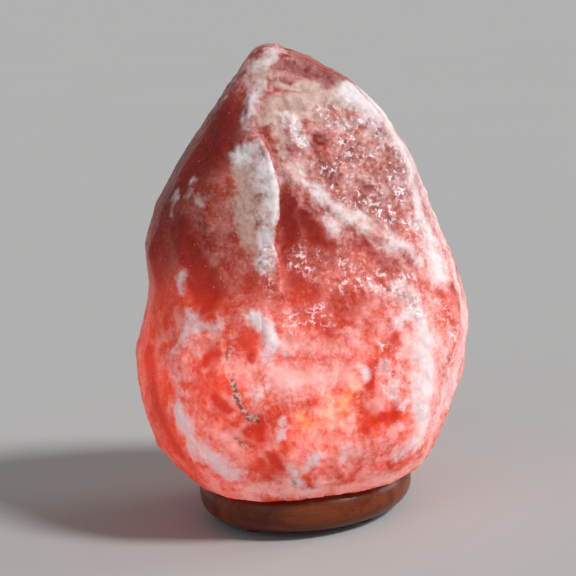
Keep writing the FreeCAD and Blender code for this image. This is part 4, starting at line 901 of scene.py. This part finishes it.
def salt_material():
    material, sheet, shader = new_material("rock_salt")
    salt = SaltMasks(sheet)
    sheet.fill(
        shader,
        {
            "Base Color": salt_colour(sheet, salt),
            "Emission Color": salt_glow(sheet, salt),
            "Emission Strength": GLOW_STRENGTH,
            "Roughness": salt_roughness(sheet, salt),
            "IOR": 1.54,
            "Specular IOR Level": 0.22,
            "Subsurface Weight": 0.15,
            "Subsurface Radius": (1.0, 0.22, 0.12),
            "Subsurface Scale": 0.005,
            "Normal": salt_normal(sheet, salt),
        },
    )
    return material


def fine_wear_group():
    """Dust, faint scratches and a fine grain, which all the pieces but the crystal share."""
    outputs = {"Dust": FLOAT_SOCKET, "Scratches": FLOAT_SOCKET, "Grain": FLOAT_SOCKET}
    group, sheet, given, gives = new_group("fine_wear", {"Scale": FLOAT_SOCKET}, outputs)
    where = sheet.place()
    size = given["Scale"]
    dust = sheet.noise(where, size, 6, 0.7)
    scratches = sheet.noise(sheet.place((0.12, 1.0, 1.0)), sheet.times(size, 3.0), 3, 0.8, 0.4)
    grain = sheet.noise(where, sheet.times(size, 6.0), 3, 0.6)
    sheet.put(gives["Dust"], sheet.between(dust, 0.52, 0.74))
    sheet.put(gives["Scratches"], sheet.between(scratches, 0.62, 0.72))
    sheet.put(gives["Grain"], grain)
    return group


def add_wear(sheet, group, scale):
    node = sheet.add("ShaderNodeGroup", node_tree=group)
    sheet.put(node.inputs["Scale"], scale)
    return node.outputs


def wood_material(wear_group):
    """Stained and varnished wood: rings and pores drawn out along x, with dust and scratches."""
    material, sheet, shader = new_material("stained_wood")
    rings = sheet.noise(sheet.place((0.12, 1.0, 0.55)), 120, 5, 0.6, 0.5)
    pores = sheet.noise(sheet.place((0.05, 1.0, 0.7)), 900, 3, 0.7)
    wear = add_wear(sheet, wear_group, 220.0)
    colour = sheet.blend(sheet.between(rings, 0.3, 0.7), tinted(84, 27, 10), tinted(122, 56, 26))
    colour = sheet.blend(sheet.between(pores, 0.58, 0.7, 0.0, 0.6), colour, tinted(44, 18, 12))
    colour = sheet.blend(sheet.times(wear["Dust"], 0.14), colour, tinted(146, 116, 100))
    colour = sheet.blend(sheet.times(wear["Scratches"], 0.12), colour, tinted(158, 122, 98))
    normal = sheet.bump(pores, 0.12, 0.0004)
    sheet.fill(
        shader,
        {
            "Base Color": colour,
            "Roughness": sheet.between(wear["Dust"], 0, 1, 0.34, 0.5),
            "Specular IOR Level": 0.2,
            "Coat Weight": 0.16,
            "Coat Roughness": 0.16,
            "Normal": sheet.bump(wear["Scratches"], 0.12, 0.0002, normal),
        },
    )
    return material


def plain_material(name, wear_group, colour, worn, roughness, metallic, grain):
    """Moulded, rolled or plated surface with dust, scratches and a fine grain."""
    material, sheet, shader = new_material(name)
    wear = add_wear(sheet, wear_group, 600.0)
    marks = sheet.math("MAXIMUM", sheet.times(wear["Dust"], 0.5), wear["Scratches"])
    dusty_roughness = min(1.0, roughness + 0.16)
    sheet.fill(
        shader,
        {
            "Base Color": sheet.blend(sheet.times(marks, 0.45), colour, worn),
            "Roughness": sheet.between(wear["Dust"], 0, 1, roughness, dusty_roughness),
            "Metallic": metallic,
            "Normal": sheet.bump(wear["Grain"], grain, 0.0001),
        },
    )
    return material


def glass_material(name, wear_group, tint):
    material, sheet, shader = new_material(name)
    wear = add_wear(sheet, wear_group, 300.0)
    sheet.fill(
        shader,
        {
            "Base Color": sheet.blend(sheet.times(wear["Dust"], 0.2), tint, tinted(243, 241, 236)),
            "Roughness": sheet.between(wear["Dust"], 0, 1, 0.02, 0.10),
            "Transmission Weight": 0.92,
            "IOR": 1.5,
        },
    )
    return material


def glowing_material(name, wear_group):
    material, sheet, shader = new_material(name)
    grain = add_wear(sheet, wear_group, 2000.0)["Grain"]
    sheet.fill(
        shader,
        {
            "Base Color": sheet.blend(grain, tinted(218, 188, 148), tinted(243, 218, 188)),
            "Emission Color": sheet.blend(grain, tinted(255, 172, 96), tinted(255, 220, 162)),
            "Emission Strength": 6.0,
        },
    )
    return material


# The plainer materials: colour, colour of dust and wear, roughness, how metallic, and grain.
PLAIN = {
    "zinc_plate": (tinted(203, 204, 206), tinted(173, 171, 166), 0.30, 1.0, 0.15),
    "black_moulding": (tinted(40, 39, 39), tinted(76, 74, 72), 0.38, 0.0, 0.15),
    "brass_sheet": (tinted(220, 188, 124), tinted(173, 139, 93), 0.26, 1.0, 0.15),
    "nylon": (tinted(188, 188, 184), tinted(206, 203, 198), 0.50, 0.0, 0.20),
    "rubber": (tinted(38, 38, 38), tinted(90, 88, 86), 0.72, 0.0, 0.40),
    "steatite": (tinted(220, 216, 206), tinted(190, 183, 170), 0.55, 0.0, 0.30),
    "spring_steel": (tinted(173, 173, 175), tinted(134, 129, 124), 0.28, 1.0, 0.15),
    "plated_sheet": (tinted(220, 218, 213), tinted(181, 176, 166), 0.24, 1.0, 0.15),
    "solder": (tinted(181, 181, 181), tinted(145, 145, 145), 0.42, 1.0, 0.50),
    "black_glass": (tinted(33, 33, 36), tinted(69, 69, 69), 0.12, 0.0, 0.10),
}
MADE_OF = {
    "zinc_plate": ("crystal_screws", "foot_screws", "terminal_screws"),
    "black_moulding": ("holder_cap", "holder_shell"),
    "brass_sheet": ("screw_shell", "centre_contact", "side_contact", "shell_rivets"),
    "nylon": ("screw_plugs",),
    "rubber": ("rubber_feet",),
    "steatite": ("contact_carrier",),
    "spring_steel": ("spring_clip",),
    "plated_sheet": ("bulb_cap", "lead_wires", "filament_support"),
    "solder": ("tip_contact",),
    "black_glass": ("bulb_insulator",),
}


def dress(name, material):
    for slot in NODES[name].material_slots:
        slot.material = material


def dress_all():
    wear = fine_wear_group()
    dress("wood_base", wood_material(wear))
    for name, looks in PLAIN.items():
        material = plain_material(name, wear, *looks)
        for node in MADE_OF[name]:
            dress(node, material)
    dress("bulb_glass", glass_material("thin_glass", wear, tinted(255, 252, 249)))
    dress("bulb_stem", glass_material("stem_glass", wear, tinted(246, 248, 247)))
    dress("filament", glowing_material("glowing_wire", wear))


# ---- the studio, in metres and degrees ----

FLOOR_REACH = 14.0
FLOOR_GREYS = (tinted(184, 184, 184), tinted(187, 187, 187))
WORLD_TINT = (1.0, 0.99, 0.97, 1.0)
WORLD_LIGHT = 0.22  # how strongly the world lights the lamp
WORLD_SEEN = 0.42  # how bright it is to the eye, and in glass and gloss
SUNS = {  # way toward it, strength and spread
    "key": ((0.80, -0.50, 0.85), 2.5, 12.0),
    "side": ((0.95, 0.20, 0.30), 1.0, 30.0),
    "fill": ((-0.6, -1.0, 0.4), 0.35, 60.0),
}
CAMERA_DOWN = 12.0
CAMERA_ROLL = -5.1
CAMERA_TARGET = (0, 0, 0.117)
CAMERA_DISTANCE = 0.895
LENS = 110.0  # millimetres, as is the film
FILM_WIDTH = 36.0


def make_floor():
    """The floor goes down with the lampholder, so that it never hides it."""
    reach = FLOOR_REACH
    corners = [(-reach, -reach, 0), (reach, -reach, 0), (reach, reach, 0), (-reach, reach, 0)]
    floor = mesh_object("floor", corners, [(0, 1, 2, 3)])
    material, sheet, shader = new_material("floor_paint")
    cloudy = sheet.noise(sheet.place(), 3.0, 4, 0.6)
    colour = sheet.blend(cloudy, *FLOOR_GREYS)
    sheet.fill(shader, {"Base Color": colour, "Roughness": 0.9, "Specular IOR Level": 0.2})
    floor.data.materials.append(material)
    floor.parent = frame["bodies"]["holder"]


def make_sun(name, toward, strength, spread):
    data = bpy.data.lights.new(name, "SUN")
    data.energy = strength
    data.angle = math.radians(spread)
    linked(name, data).rotation_euler = Vector(toward).to_track_quat("Z", "Y").to_euler()


def make_world():
    """A pale world, dimmer as a light than it is to the camera and in reflections."""
    world = bpy.data.worlds.new("studio")
    bpy.context.scene.world = world
    world.use_nodes = True
    sheet = Sheet(world.node_tree)
    background = next(node for node in world.node_tree.nodes if node.type == "BACKGROUND")
    rays = sheet.add("ShaderNodeLightPath").outputs
    seen = sheet.math("MAXIMUM", rays["Is Camera Ray"], rays["Is Glossy Ray"])
    seen = sheet.math("MAXIMUM", seen, rays["Is Transmission Ray"])
    strength = sheet.between(seen, 0, 1, WORLD_LIGHT, WORLD_SEEN)
    sheet.fill(background, {"Color": WORLD_TINT, "Strength": strength})


def make_camera():
    tilt = math.radians(CAMERA_DOWN)
    roll = math.radians(CAMERA_ROLL)
    back = Vector((0, -math.cos(tilt), math.sin(tilt)))
    level_up = Vector((0, math.sin(tilt), math.cos(tilt)))
    level_right = Vector((1, 0, 0))
    right = level_right * math.cos(roll) + level_up * math.sin(roll)
    up = -level_right * math.sin(roll) + level_up * math.cos(roll)
    data = bpy.data.cameras.new("camera")
    data.lens = LENS
    data.sensor_width = FILM_WIDTH
    camera = linked("camera", data)
    turn = Matrix((right, up, back)).transposed().to_4x4()
    stand = Vector(CAMERA_TARGET) + back * CAMERA_DISTANCE
    camera.matrix_world = Matrix.Translation(stand) @ turn
    bpy.context.scene.camera = camera


noise.seed_set(RAGGED_SEED)
make_camera()
make_crystal()
dress_all()
make_floor()
for sun, (toward, strength, spread) in SUNS.items():
    make_sun(sun, toward, strength, spread)
make_world()
bpy.context.scene.view_settings.view_transform = "Standard"
